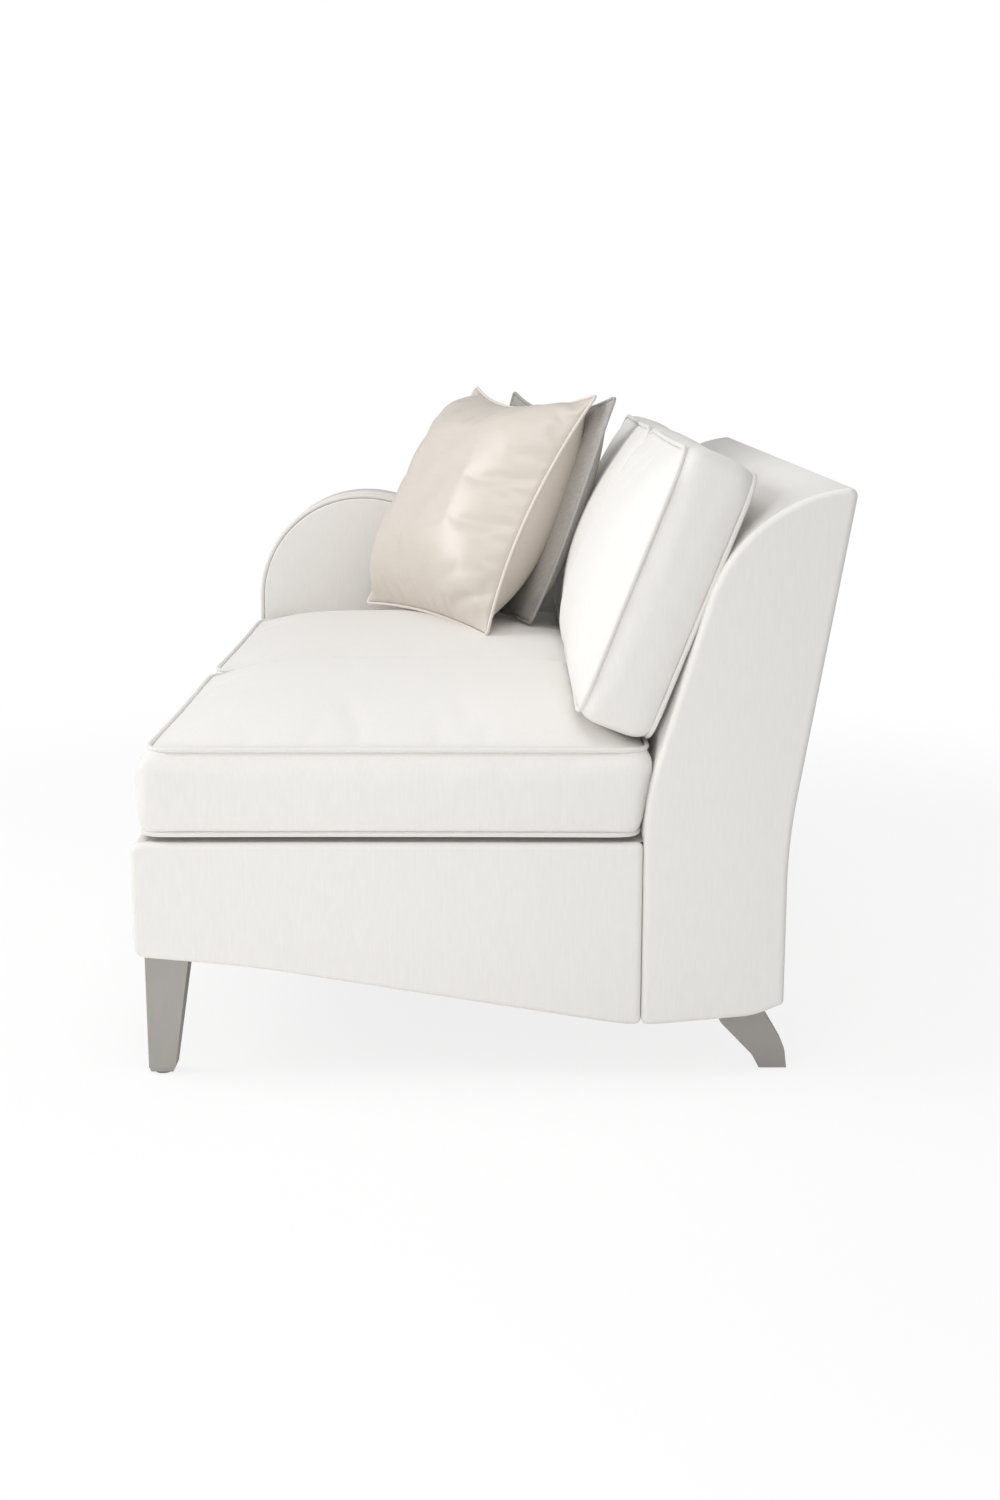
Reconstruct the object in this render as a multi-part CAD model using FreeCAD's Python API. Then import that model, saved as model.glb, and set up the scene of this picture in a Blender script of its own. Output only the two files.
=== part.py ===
import FreeCAD, Part
import math
import os

# One-arm loveseat module of a sectional sofa. Millimetres, X along the length with the open end at +X
# and the arm at -X, front towards -Y, Z up, origin on the floor under the middle of the whole.

# Overall
length = 1545.0
depth = 1053.0
back_height = 885.0
base_top = 366.0
arm_width = 165.0
arm_height = 772.5

# Back seen from its end
back_foot = 213.5          # thickness where the back leaves the base
back_sweep = 82.0          # how far the top of the outside back stands behind its foot
back_lean = 16.5           # degrees, inside back
front_bend_z = 428.0
front_bend_r = 415.0
top_rise = 7.0             # degrees, where the top meets the rear corner
top_r = 228.0
rear_corner_r = 12.0
rear_bend_z = 369.0
rear_bend_r = 850.0
flap = 42.0                # inside back cover turned down over the outside back

# Lower edge of the base seen from its end
apron_front_z = 189.0
apron_shoulder = 172.5
apron_drop = 15.0
apron_low_z = 84.4
apron_toe = 28.0
back_toe = 27.0
heel_run = 44.5
heel_low_z = 97.8
heel_z = 117.0
apron_sweep_r = 1500.0
apron_toe_r = 300.0
heel_r = 120.0
panel_corner_r = 18.0
seam_corner_r = 9.0

# Upholstery layers
panel = 14.0               # padded end panels
panel_edge = 7.0           # rounding of their outer edges
front_pad = 24.0
back_pad = 18.0
outside_pad = 12.0
deck_pad = 24.0
deck_cloth = 2.0
dust_cloth = 1.5
seam_gap = 0.6
arm_band = 16.0
arm_fall = 12.0            # degrees, slope of the arm top towards the back
arm_r = 224.5
arm_welt_r = 4.5
arm_clear = 0.4

# Hardwood frame
board = 22.0
arm_board = 18.0
frame_z = 190.0            # underside of the front rail
rear_frame_z = 130.0       # underside of the rear rail
rail_lift = 10.0           # end rails above the panel's lower edge
stretcher_h = 100.0
spring_rail_h = 60.0
block = 80.0
seat_bays = 3
back_rail_h = 60.0
arm_block_h = 90.0
arm_block_y = 60.0

# Seat suspension and webbing
wire_r = 1.8
spring_half_pitch = 36.0
spring_half_width = 24.0
springs_per_bay = 3
clip_t = 1.2
clip_gap = 0.2
clip_width = 16.0
clip_length = 18.0
web_t = 2.0
web_width = 50.0
web_count = 3
web_margin = 10.0

# Cushions
seat_front_set = 10.5      # boxing behind the front of the base
seat_clear = 1.2
seat_boxing = 125.0
seat_low_crown = 11.0
seat_crown = 42.0
seat_corner_r = 30.0
seat_low_draw = 9.0
seat_top_draw = 20.0
back_cushion_h = 419.0
back_cushion_lean = 21.3
back_boxing = 105.0
back_rear_crown = 3.0
back_crown = 56.0
pressed_crown = 34.0       # left back cushion, behind the pillows
back_corner_r = 28.0
back_draw = 12.0
back_end_set = 9.0
cushion_gap = 2.5
cushion_welt_r = 4.2
pinch = 1.0                # degrees, sides drawn in between the corners
wrap = 6.0                 # cover and fibre wrap round a core
core_gap = 0.3
round_share = 0.7          # most that a corner takes of a narrow crown
bend_share = 0.98          # most that two bends take of the side between them
least_r = 0.4
settle_rounds = 6          # tries at letting a loose piece down on its neighbours

# Throw pillows
front_pillow_turn = 30.0
front_pillow_lean = 30.0
rear_pillow_turn = 24.0
rear_pillow_lean = 20.0
front_pillow_from_arm = 222.0
rear_pillow_from_arm = 195.0
front_pillow_half = 254.0
rear_pillow_half = 236.0
front_pillow_front = 80.0
front_pillow_rear = 50.0
rear_pillow_front = 9.0
rear_pillow_rear = 22.0
pillow_wall = 4.0
pillow_corner_r = 14.0
pillow_pinch = 10.0
piping_r = 3.2
rest_clear = 0.6
pillow_clear = 0.95
contact_steps = 40         # places along a cushion's back tried against the inside back

# Legs and hardware
front_leg_set_y = 13.5
leg_set_x = 15.5
front_leg_top_y = 66.0
front_leg_foot_y = 39.0
front_leg_top_x = 46.0
front_leg_foot_x = 32.0
leg_bevel = 3.0
leg_bevel_h = 8.0
rear_leg_set_x = 38.0
rear_leg_width = 40.0
rear_leg_heel = 12.0
rear_leg_foot = 42.0
rear_leg_reach = 99.5
rear_leg_neck = 76.0
rear_leg_shin = (11.0, 21.0, 30.0)     # bends of the sweep: step along Y, height over the glide, radius
rear_leg_knee = (7.0, 75.0, 25.0)
rear_leg_calf_z = 87.0
rear_leg_calf_r = 30.0
rear_leg_ankle = (4.0, 33.0, 40.0)
plate_t = 3.0
plate_size = 44.0
bolt_r = 4.0
bolt_depth = 40.0
bolt_clear = 0.1
glide_h = 3.0
glide_r = 12.0
bracket_t = 3.0
bracket_width = 50.0
bracket_leg = 60.0
bracket_z = 165.0
bracket_hole_r = 4.5
bracket_hole_in = 35.0
bracket_spacing = 300.0
bracket_mid_y = -50.0
screw_r = 2.4
screw_head_r = 4.5
screw_head_t = 2.5
screw_bite = 16.0
screw_rows = (20.0, 42.0)

# Places worked out from the sizes above
x_open = length / 2
x_arm = -length / 2
front_y = -depth / 2
back_y = depth / 2
rear_foot_y = back_y - back_sweep
seam_y = rear_foot_y - back_foot
x_open_panel = x_open - panel
x_arm_panel = x_arm + panel
x_open_rail = x_open_panel - board
x_arm_rail = x_arm_panel + board
arm_pad = 2 * arm_welt_r + arm_clear
x_arm_face = x_arm + arm_width
x_arm_core = x_arm_face - arm_pad
frame_front = front_y + front_pad
rail_back_of_front = frame_front + board
rear_rail_y = rear_foot_y - outside_pad - board
clip_h = 2 * clip_t + 2 * wire_r + 2 * clip_gap
rail_top = base_top - deck_cloth - deck_pad - clip_h
rib_pad = back_pad + web_t

# Rise of a crown: share of the way in from the edge, share of the height
crown_steps = ((0.10, 0.45), (0.25, 0.74), (0.46, 0.92), (0.72, 1.0))
flat_steps = ((0.07, 1.0),)
low_steps = ((0.12, 0.5), (0.45, 1.0))
boxing_steps = ((0.25, 1.0), (0.5, 0.0), (0.75, 1.0))
# Swell of a pillow: share of the way in, share of the thickness, pinch of the sides, corner radius
pillow_steps = ((0.03, 0.16, 0.8, 2.0), (0.14, 0.44, 0.4, 4.0), (0.30, 0.70, -0.2, 6.0),
                (0.52, 0.91, -0.9, 6.0), (0.76, 1.0, -1.8, 3.5))


def vec(x, y, z):
    return FreeCAD.Vector(x, y, z)


def box(x0, x1, y0, y1, z0, z1):
    return Part.makeBox(x1 - x0, y1 - y0, z1 - z0, vec(x0, y0, z0))


def rod(x, y, z0, z1, r):
    return Part.makeCylinder(r, z1 - z0, vec(x, y, z0))


# Outlines in the YZ plane: clockwise corners of (y, z, radius)
def heading(a, b):
    run = b[0] - a[0]
    rise = b[1] - a[1]
    size = math.hypot(run, rise)
    return run / size, rise / size


def crossing(p, d, q, e):
    spin = d[0] * e[1] - d[1] * e[0]
    s = ((q[0] - p[0]) * e[1] - (q[1] - p[1]) * e[0]) / spin
    return p[0] + s * d[0], p[1] + s * d[1]


def inset_corners(corners, insets):
    count = len(corners)
    lines = []
    for i in range(count):
        a = corners[i]
        d = heading(a, corners[(i + 1) % count])
        lines.append(((a[0] + d[1] * insets[i], a[1] - d[0] * insets[i]), d))
    moved = []
    for i in range(count):
        p, d = lines[i - 1]
        q, e = lines[i]
        turn = d[0] * e[1] - d[1] * e[0]
        y, z = crossing(p, d, q, e)
        shift = max(insets[i - 1], insets[i])
        radius = corners[i][2]
        if radius > 0:
            radius = max(radius + math.copysign(shift, turn), least_r)
        moved.append((y, z, radius))
    return moved


def outline(corners, x):
    count = len(corners)
    heads = [heading(corners[i], corners[(i + 1) % count]) for i in range(count)]
    turns = []
    for i in range(count):
        d = heads[i - 1]
        e = heads[i]
        turns.append(math.atan2(d[0] * e[1] - d[1] * e[0], d[0] * e[0] + d[1] * e[1]))
    reach = [corners[i][2] * math.tan(abs(turns[i]) / 2) for i in range(count)]
    for i in range(count):
        j = (i + 1) % count
        span = math.dist(corners[i][:2], corners[j][:2])
        over = reach[i] + reach[j] - bend_share * span
        if over > 0:
            k = i if reach[i] > reach[j] else j
            reach[k] -= over
    edges = []
    last = None
    first = None
    for i in range(count):
        y, z, radius = corners[i]
        d = heads[i - 1]
        e = heads[i]
        start = vec(x, y - d[0] * reach[i], z - d[1] * reach[i])
        end = vec(x, y + e[0] * reach[i], z + e[1] * reach[i])
        if last is not None:
            edges.append(Part.LineSegment(last, start).toShape())
        else:
            first = start
        if reach[i] > 0:
            true_r = reach[i] / math.tan(abs(turns[i]) / 2)
            middle = vec(x, y, z)
            chord = (start + end) * 0.5
            sag = true_r / math.cos(turns[i] / 2) - true_r
            towards = (chord - middle).normalize()
            edges.append(Part.Arc(start, middle + towards * sag, end).toShape())
        last = end
    edges.append(Part.LineSegment(last, first).toShape())
    return Part.Wire(edges)


def slab(corners, x0, x1):
    return Part.Face(outline(corners, x0)).extrude(vec(x1 - x0, 0, 0))


def soft_slab(corners, x_back, x_face, edge):
    side = math.copysign(1.0, x_face - x_back)
    eased = 1 - math.sqrt(0.5)
    wires = [outline(corners, x_back), outline(corners, x_face - side * edge)]
    for share in (eased, 1.0):
        small = inset_corners(corners, [edge * share] * len(corners))
        wires.append(outline(small, x_face - side * edge * (eased if share < 1 else 0)))
    return Part.makeLoft(wires, True, True)


# The back's outline: foot, front bend, top bend, rear corner, rear bend
def back_corners():
    lean = math.radians(back_lean)
    rise = math.radians(top_rise)
    cy = back_y - rear_corner_r
    cz = back_height - rear_corner_r
    run = cy - rear_foot_y
    climb = cz - rear_bend_z
    rear = math.atan2(run, climb) + math.asin(rear_corner_r / math.hypot(run, climb))
    top_p = (cy - rear_corner_r * math.sin(rise), cz + rear_corner_r * math.cos(rise))
    top_d = (math.cos(rise), math.sin(rise))
    bend = (seam_y, front_bend_z)
    foot = (rear_foot_y, rear_bend_z)
    top = crossing(bend, (math.sin(lean), math.cos(lean)), top_p, top_d)
    corner = crossing(foot, (math.sin(rear), math.cos(rear)), top_p, top_d)
    return [(*bend, front_bend_r), (*top, top_r), (*corner, rear_corner_r), (*foot, rear_bend_r)]


def back_front_y(z):
    lean = math.tan(math.radians(back_lean))
    tangent = front_bend_r * math.tan(math.radians(back_lean) / 2)
    if z <= front_bend_z - tangent:
        return seam_y
    if z < front_bend_z + tangent * math.cos(math.radians(back_lean)):
        lift = z - front_bend_z + tangent
        return seam_y + front_bend_r - math.sqrt(front_bend_r ** 2 - lift ** 2)
    top_y, top_z = back_corners()[1][:2]
    slope = math.radians(back_lean)
    reach = top_r * math.tan(math.radians(90 - back_lean - top_rise) / 2)
    centre_y = top_y - reach * math.sin(slope) + top_r * math.cos(slope)
    centre_z = top_z - reach * math.cos(slope) - top_r * math.sin(slope)
    if z < top_z - reach * math.cos(slope):
        return seam_y + (z - front_bend_z) * lean
    if z < centre_z + top_r:
        return centre_y - math.sqrt(top_r ** 2 - (z - centre_z) ** 2)
    return centre_y


def base_corners(y_end):
    return [(front_y, apron_front_z, panel_corner_r),
            (front_y, base_top, panel_corner_r),
            (y_end, base_top, seam_corner_r)]


def apron_corners():
    return [(seam_y - apron_toe, apron_low_z, apron_toe_r),
            (front_y + apron_shoulder, apron_front_z - apron_drop, apron_sweep_r)]


def heel_corners():
    return [(rear_foot_y, heel_z, seam_corner_r),
            (rear_foot_y - heel_run, heel_low_z, heel_r),
            (seam_y + back_toe, apron_low_z, apron_toe_r)]


# End panels
def base_end_panel(x_back, x_face):
    y_end = seam_y - seam_gap
    corners = base_corners(y_end) + [(y_end, apron_low_z, seam_corner_r)] + apron_corners()
    return soft_slab(corners, x_back, x_face, panel_edge)


def back_end_panel(x_back, x_face):
    corners = [(seam_y, apron_low_z, seam_corner_r)] + back_corners() + heel_corners()
    return soft_slab(corners, x_back, x_face, panel_edge)


# Inside and outside back
def rear_line_y(z, inset):
    corner, foot = back_corners()[2:]
    d = heading(foot, corner)
    return foot[0] + (z - foot[1]) * d[0] / d[1] - inset / d[1]


def inside_back():
    full = back_corners()
    shape = [(seam_y, rail_top, 0.0)] + full[:3] + [(rear_foot_y, rail_top, 0.0)]
    inner = inset_corners(shape, [back_pad, back_pad, back_pad, 0.0, 0.0])
    split = back_height - flap
    inner_top = crossing(inner[2][:2], heading(full[1], full[2]),
                         (rear_line_y(split, outside_pad), split), heading(full[3], full[2]))
    path = [shape[0], shape[1], shape[2], shape[3]]
    path += [(rear_line_y(split, 0.0), split, 0.0), (rear_line_y(split, outside_pad), split, 0.0)]
    path += [(*inner_top, 0.0), inner[2], inner[1], inner[0]]
    return slab(path, x_arm_panel, x_open_panel)


def outside_back():
    split = back_height - flap - seam_gap
    foot = back_corners()[3]
    inner = inset_corners([back_corners()[2], foot, (rear_foot_y, heel_z, 0.0), (seam_y, heel_z, 0.0)],
                          [outside_pad, outside_pad, 0.0, 0.0])
    path = [(rear_line_y(split, 0.0), split, 0.0), foot, (rear_foot_y, heel_z, 0.0),
            (rear_foot_y - outside_pad, heel_z, 0.0), inner[1],
            (rear_line_y(split, outside_pad), split, 0.0)]
    return slab(path, x_arm_panel, x_open_panel)


def front_border():
    corners = [(front_y, apron_front_z, panel_corner_r), (front_y, base_top, panel_corner_r),
               (frame_front, base_top, 0.0), (frame_front, apron_front_z, 0.0)]
    return slab(corners, x_arm_panel, x_open_panel)


# Frame
def end_rail(x0, x1):
    corners = base_corners(rear_foot_y) + heel_corners() + apron_corners()
    corners = [(y, z, r if r > panel_corner_r else 0.0) for y, z, r in corners]
    insets = [front_pad, base_top - rail_top, outside_pad] + [rail_lift] * 5
    return slab(inset_corners(corners, insets), x0, x1)


def stretcher_places():
    span = x_open_rail - x_arm_face
    places = [x_arm_core - arm_board / 2]
    for k in range(1, seat_bays):
        places.append(x_arm_face + span * k / seat_bays)
    return places


def stretchers():
    return [box(x - board / 2, x + board / 2, rail_back_of_front, rear_rail_y,
                rail_top - stretcher_h, rail_top) for x in stretcher_places()]


def spring_rails():
    starts = [x + board / 2 for x in stretcher_places()]
    ends = [x - board / 2 for x in stretcher_places()[1:]] + [x_open_rail]
    return [box(a, b, seam_y - board, seam_y, rail_top - spring_rail_h, rail_top)
            for a, b in zip(starts, ends)]


def leg_blocks():
    solids = []
    for x0, x1 in ((x_open_rail - block, x_open_rail), (x_arm_rail, x_arm_rail + block)):
        solids.append(box(x0, x1, rail_back_of_front, rail_back_of_front + block, frame_z, rail_top))
        solids.append(box(x0, x1, rear_rail_y - block, rear_rail_y, rear_frame_z, rail_top))
    return solids


def rib_spans():
    spans = [(x_arm_panel, x_arm_rail)]
    for x in stretcher_places()[1:]:
        spans.append((x - board / 2, x + board / 2))
    spans.append((x_open_rail, x_open_panel))
    return spans


def back_ribs():
    shape = [(seam_y, rail_top, 0.0)] + back_corners() + [(rear_foot_y, rail_top, 0.0)]
    shape[3] = (*shape[3][:2], 0.0)
    insets = [rib_pad, rib_pad, rib_pad, outside_pad, outside_pad, 0.0]
    corners = inset_corners(shape, insets)
    return [slab(corners, x0, x1) for x0, x1 in rib_spans()]


def rails_between_ribs(y0, z0, z1):
    spans = rib_spans()
    return [box(a[1], b[0], y0, y0 + board, z0, z1) for a, b in zip(spans, spans[1:])]


def back_top_rails():
    z1 = back_height - rib_pad - board
    y0 = rear_line_y(z1 - back_rail_h, outside_pad) - board - board / 2
    return rails_between_ribs(y0, z1 - back_rail_h, z1)


def back_tack_rails():
    return rails_between_ribs(seam_y + rib_pad, rail_top, rail_top + back_rail_h)


def back_webbing():
    bend, top = back_corners()[:2]
    d = heading(bend, top)
    low = front_bend_r * math.tan(math.radians(back_lean) / 2) + web_margin
    top_reach = top_r * math.tan(math.radians(90 - back_lean - top_rise) / 2)
    straight = math.dist(bend[:2], top[:2]) - low - top_reach - web_margin
    solids = []
    for k in range(web_count):
        s = low + (straight - web_width) * k / (web_count - 1)
        corners = []
        for along, inward in ((0, back_pad), (web_width, back_pad), (web_width, rib_pad), (0, rib_pad)):
            corners.append((bend[0] + d[0] * (s + along) + d[1] * inward,
                            bend[1] + d[1] * (s + along) - d[0] * inward, 0.0))
        solids.append(slab(corners, x_arm_panel, x_open_panel))
    return solids


# Arm
def arm_corners(z_foot):
    fall = math.radians(arm_fall)
    lean = math.radians(back_lean)
    y_rear = seam_y - arm_clear
    crest = arm_height - arm_r + arm_r * math.tan((math.pi / 2 + fall) / 2)
    top = (frame_front, crest)
    rear = crossing(top, (math.cos(fall), -math.sin(fall)),
                    (y_rear, front_bend_z), (math.sin(lean), math.cos(lean)))
    return [(frame_front, z_foot, 0.0), (*top, arm_r), (*rear, 0.0),
            (y_rear, front_bend_z, front_bend_r), (y_rear, z_foot, 0.0)]


def arm_inset(z_foot, inset):
    return inset_corners(arm_corners(z_foot), [inset, inset, 0.0, 0.0, 0.0])


def arm_band_cover():
    outer = arm_corners(rail_top)
    inner = arm_inset(rail_top, arm_band)
    return slab(outer[:3] + [inner[2], inner[1], inner[0]], x_arm_panel, x_arm_core)


def arm_welts():
    path = arm_inset(base_top + seam_gap, arm_welt_r + arm_clear / 2)[:3]
    solids = []
    for x in (x_arm_face - arm_welt_r - arm_clear / 4, x_arm_panel - arm_welt_r - arm_clear / 4):
        edges = outline(path, x).Edges[:-1]
        spine = Part.Wire(edges)
        ring = Part.Wire(Part.makeCircle(arm_welt_r, vec(x, *path[0][:2]), vec(0, 0, 1)))
        solids.append(spine.makePipeShell([ring], True, False))
    return solids


def arm_blocks():
    x0 = x_arm_panel + arm_board
    x1 = x_arm_core - arm_board
    y_front = frame_front + arm_band
    y_rear = seam_y - arm_clear - arm_block_y
    y_crown = frame_front + arm_r - arm_block_y / 2
    z_crown = arm_height - arm_band - board
    return [box(x0, x1, y_front, y_front + arm_block_y, rail_top, rail_top + arm_block_h),
            box(x0, x1, y_rear, y_rear + arm_block_y, rail_top, rail_top + arm_block_h),
            box(x0, x1, y_crown, y_crown + arm_block_y, z_crown - arm_block_h, z_crown)]


# Seat suspension and deck
def spring_places():
    span = (x_open_rail - x_arm_face) / seat_bays
    return [x_arm_face + span * (bay + (k + 0.5) / springs_per_bay)
            for bay in range(seat_bays) for k in range(springs_per_bay)]


def spring_ends():
    return frame_front + board / 2, seam_y - board / 2


def sinuous_spring(x):
    y0, y1 = spring_ends()
    z = rail_top + clip_t + clip_gap + wire_r
    turns = int((y1 - y0) / spring_half_pitch)
    pitch = (y1 - y0) / turns
    r = pitch / 2
    w = spring_half_width - r
    edges = [Part.LineSegment(vec(x, y0, z), vec(x + w, y0, z)).toShape()]
    for k in range(turns):
        side = 1 if k % 2 == 0 else -1
        a = vec(x + side * w, y0 + k * pitch, z)
        b = vec(x + side * w, y0 + (k + 1) * pitch, z)
        edges.append(Part.Arc(a, vec(x + side * (w + r), y0 + (k + 0.5) * pitch, z), b).toShape())
        stop = x if k == turns - 1 else x - side * w
        edges.append(Part.LineSegment(b, vec(stop, b.y, z)).toShape())
    ring = Part.Wire(Part.makeCircle(wire_r, vec(x, y0, z), vec(1, 0, 0)))
    return Part.Wire(edges).makePipeShell([ring], True, False)


def spring_clip(x, y, side):
    near = y - side * clip_length / 2
    far = y + side * clip_length / 2
    z0 = rail_top
    z1 = rail_top + clip_h
    points = [(near, z0), (far, z0), (far, z1), (near, z1), (near, z1 - clip_t),
              (far - side * clip_t, z1 - clip_t), (far - side * clip_t, z0 + clip_t), (near, z0 + clip_t)]
    ring = [vec(x - clip_width / 2, a, b) for a, b in points]
    return Part.Face(Part.makePolygon(ring + ring[:1])).extrude(vec(clip_width, 0, 0))


def spring_clips():
    y0, y1 = spring_ends()
    places = spring_places()
    return [spring_clip(x, y0, -1) for x in places] + [spring_clip(x, y1, 1) for x in places]


def deck_layer(z0, z1):
    return box(x_arm_face, x_open_panel, frame_front, seam_y, z0, z1)


def dust_cover():
    z1 = rail_top - stretcher_h
    sheet = box(x_arm_rail, x_open_rail, rail_back_of_front, rear_rail_y, z1 - dust_cloth, z1)
    for corner in leg_blocks():
        sheet = sheet.cut(corner)
    return sheet


# Cushions lie flat in their own frame, front or top face up
def section(x0, x1, y0, y1, corner, squeeze, z):
    bend = math.radians(squeeze)
    cx = (x0 + x1) / 2
    cy = (y0 + y1) / 2
    ax = (x1 - x0) / 2 - corner
    ay = (y1 - y0) / 2 - corner
    near = corner * math.sin(bend)
    far = corner * math.cos(bend)
    diag = corner * math.sqrt(0.5)
    sag = math.tan(bend / 2)
    edges = []
    last = None
    for sx, sy in ((1, 1), (1, -1), (-1, -1), (-1, 1)):
        along_x = vec(cx + sx * (ax - near), cy + sy * (ay + far), z)
        along_y = vec(cx + sx * (ax + far), cy + sy * (ay - near), z)
        tip = vec(cx + sx * (ax + diag), cy + sy * (ay + diag), z)
        ends = (along_x, along_y) if sx == sy else (along_y, along_x)
        if last is not None:
            edges.append(side_edge(last, ends[0], cx, cy, sag))
        else:
            first = ends[0]
        edges.append(Part.Arc(ends[0], tip, ends[1]).toShape())
        last = ends[1]
    edges.append(side_edge(last, first, cx, cy, sag))
    return Part.Wire(edges)


def side_edge(a, b, cx, cy, sag):
    middle = (a + b) * 0.5
    if sag == 0:
        return Part.LineSegment(a, b).toShape()
    inward = (vec(cx, cy, a.z) - middle).normalize()
    return Part.Arc(a, middle + inward * (sag * a.distanceToPoint(b) / 2), b).toShape()


def boxed_levels(low_crown, boxing, crown, low_draw, top_draw, half, steps):
    levels = []
    for share, rise in reversed(steps):
        levels.append((low_crown * (1 - rise), low_draw + share * (half - low_draw)))
    levels.append((low_crown, low_draw))
    for share, draw in boxing_steps:
        levels.append((low_crown + boxing * share, draw))
    levels.append((low_crown + boxing, top_draw))
    for share, rise in crown_steps:
        levels.append((low_crown + boxing + crown * rise, top_draw + share * (half - top_draw)))
    return levels


def shrink_levels(levels, wall, middle):
    return [(z + math.copysign(wall, middle - z), inset + wall) for z, inset in levels]


def boxed_solid(levels, bounds, corner):
    wires = []
    for z, inset in levels:
        x0, x1, y0, y1 = bounds(z)
        narrow = min(x1 - x0, y1 - y0) / 2 - inset
        radius = min(corner + inset / 2, narrow * round_share)
        wires.append(section(x0 + inset, x1 - inset, y0 + inset, y1 - inset, radius, pinch, z))
    return Part.makeLoft(wires, True, True)


def welt_inset(draw, rise):
    return draw - (cushion_welt_r + core_gap) * math.hypot(draw, rise) / rise


def welt_ring(bounds, z, draw, rise, corner):
    inset = welt_inset(draw, rise)
    x0, x1, y0, y1 = bounds(z)
    spine = section(x0 + inset, x1 - inset, y0 + inset, y1 - inset, corner + inset / 2, pinch, z)
    start = spine.Edges[0]
    ring = Part.makeCircle(cushion_welt_r, start.valueAt(start.FirstParameter),
                           start.tangentAt(start.FirstParameter))
    return spine.makePipeShell([Part.Wire(ring)], True, False)


def boxed_cushion(bounds, low_crown, boxing, crown, low_draw, top_draw, corner, steps):
    x0, x1, y0, y1 = bounds(low_crown)
    half = min(x1 - x0, y1 - y0) / 2
    levels = boxed_levels(low_crown, boxing, crown, low_draw, top_draw, half, steps)
    middle = low_crown + boxing / 2
    outer = boxed_solid(levels, bounds, corner)
    inner = boxed_solid(shrink_levels(levels, wrap, middle), bounds, corner)
    core = boxed_solid(shrink_levels(levels, wrap + core_gap, middle), bounds, corner)
    rise = boxing * boxing_steps[0][0]
    welts = [welt_ring(bounds, low_crown, low_draw, rise, corner),
             welt_ring(bounds, low_crown + boxing, top_draw, rise, corner)]
    return {"cover": outer.cut(inner), "core": core, "welts": Part.makeCompound(welts)}


def moved(pieces, placement):
    for shape in pieces.values():
        shape.Placement = placement.multiply(shape.Placement)
    return pieces


# Seat cushions
def seat_spans():
    middle = (x_arm_face + x_open) / 2
    half_gap = cushion_gap / 2
    return {"left": (x_arm_face + seat_clear, middle - half_gap),
            "right": (middle + half_gap, x_open - seat_clear)}


seat_bottom = base_top + rest_clear


def seat_bounds(side):
    x0, x1 = seat_spans()[side]

    def at(z):
        return x0, x1, front_y + seat_front_set, back_front_y(seat_bottom + z) - seat_clear
    return at


def seat_cushion(side):
    pieces = boxed_cushion(seat_bounds(side), seat_low_crown, seat_boxing, seat_crown,
                           seat_low_draw, seat_top_draw, seat_corner_r, flat_steps)
    return moved(pieces, FreeCAD.Placement(vec(0, 0, seat_bottom), FreeCAD.Rotation()))


def seat_top_points():
    x0, x1, y0, y1 = seat_bounds("left")(seat_low_crown)
    half = min(x1 - x0, y1 - y0) / 2
    levels = boxed_levels(seat_low_crown, seat_boxing, seat_crown, seat_low_draw, seat_top_draw,
                          half, flat_steps)
    top = levels[-1 - len(crown_steps):]
    return [(seat_bounds("left")(z)[3] - inset, seat_bottom + z) for z, inset in top]


def seat_top_z():
    return seat_bottom + seat_low_crown + seat_boxing + seat_crown


# Back cushions lean on the inside back and stand on the seat cushions
def back_cushion_levels():
    x0, x1 = back_spans()["right"]
    half = min(x1 - x0, back_cushion_h) / 2
    return boxed_levels(back_rear_crown, back_boxing, back_crown, back_draw, back_draw, half, low_steps)


def back_contact_levels():
    inset = welt_inset(back_draw, back_boxing * boxing_steps[0][0])
    levels = back_cushion_levels()
    for seam in (back_rear_crown, back_rear_crown + back_boxing):
        levels += [(seam - cushion_welt_r, inset), (seam, inset - cushion_welt_r),
                   (seam + cushion_welt_r, inset)]
    return levels


def back_spans():
    spans = seat_spans()
    left = spans["left"]
    right = spans["right"]
    return {"left": left, "right": (right[0], right[1] - back_end_set)}


def back_cushion_place():
    lean = math.radians(back_cushion_lean)
    up = (math.sin(lean), math.cos(lean))
    out = (-math.cos(lean), math.sin(lean))
    levels = back_contact_levels()
    half = back_cushion_h / 2
    y = back_front_y(base_top)
    z = seat_top_z() + half
    for _ in range(settle_rounds):
        y_room = []
        for depth_in, inset in levels:
            for step in range(-contact_steps, contact_steps + 1):
                along = (half - inset) * step / contact_steps
                py = up[0] * along + out[0] * depth_in
                pz = z + up[1] * along + out[1] * depth_in
                y_room.append(back_front_y(pz) - rest_clear - py)
        y = min(y_room)
        z_need = []
        for depth_in, inset in levels:
            py = y - up[0] * (half - inset) + out[0] * depth_in
            pz = -up[1] * (half - inset) + out[1] * depth_in
            z_need.append(seat_surface_z(py) + rest_clear - pz)
        for py, pz in seat_top_points():
            z_need.append(pz + rest_clear - cushion_base_z(py - y))
        z = max(z_need)
    return y, z


def seat_surface_z(y):
    points = sorted(seat_top_points())
    if y <= points[0][0]:
        return points[0][1]
    for a, b in zip(points, points[1:]):
        if y <= b[0]:
            return a[1] + (b[1] - a[1]) * (y - a[0]) / (b[0] - a[0])
    return points[-1][1]


def cushion_base_z(dy):
    lean = math.radians(back_cushion_lean)
    half = back_cushion_h / 2
    foot = (-math.sin(lean) * half, -math.cos(lean) * half)
    return foot[1] + (dy - foot[0]) * -math.tan(lean)


def back_turn():
    return FreeCAD.Rotation(vec(1, 0, 0), 90 - back_cushion_lean)


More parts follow.
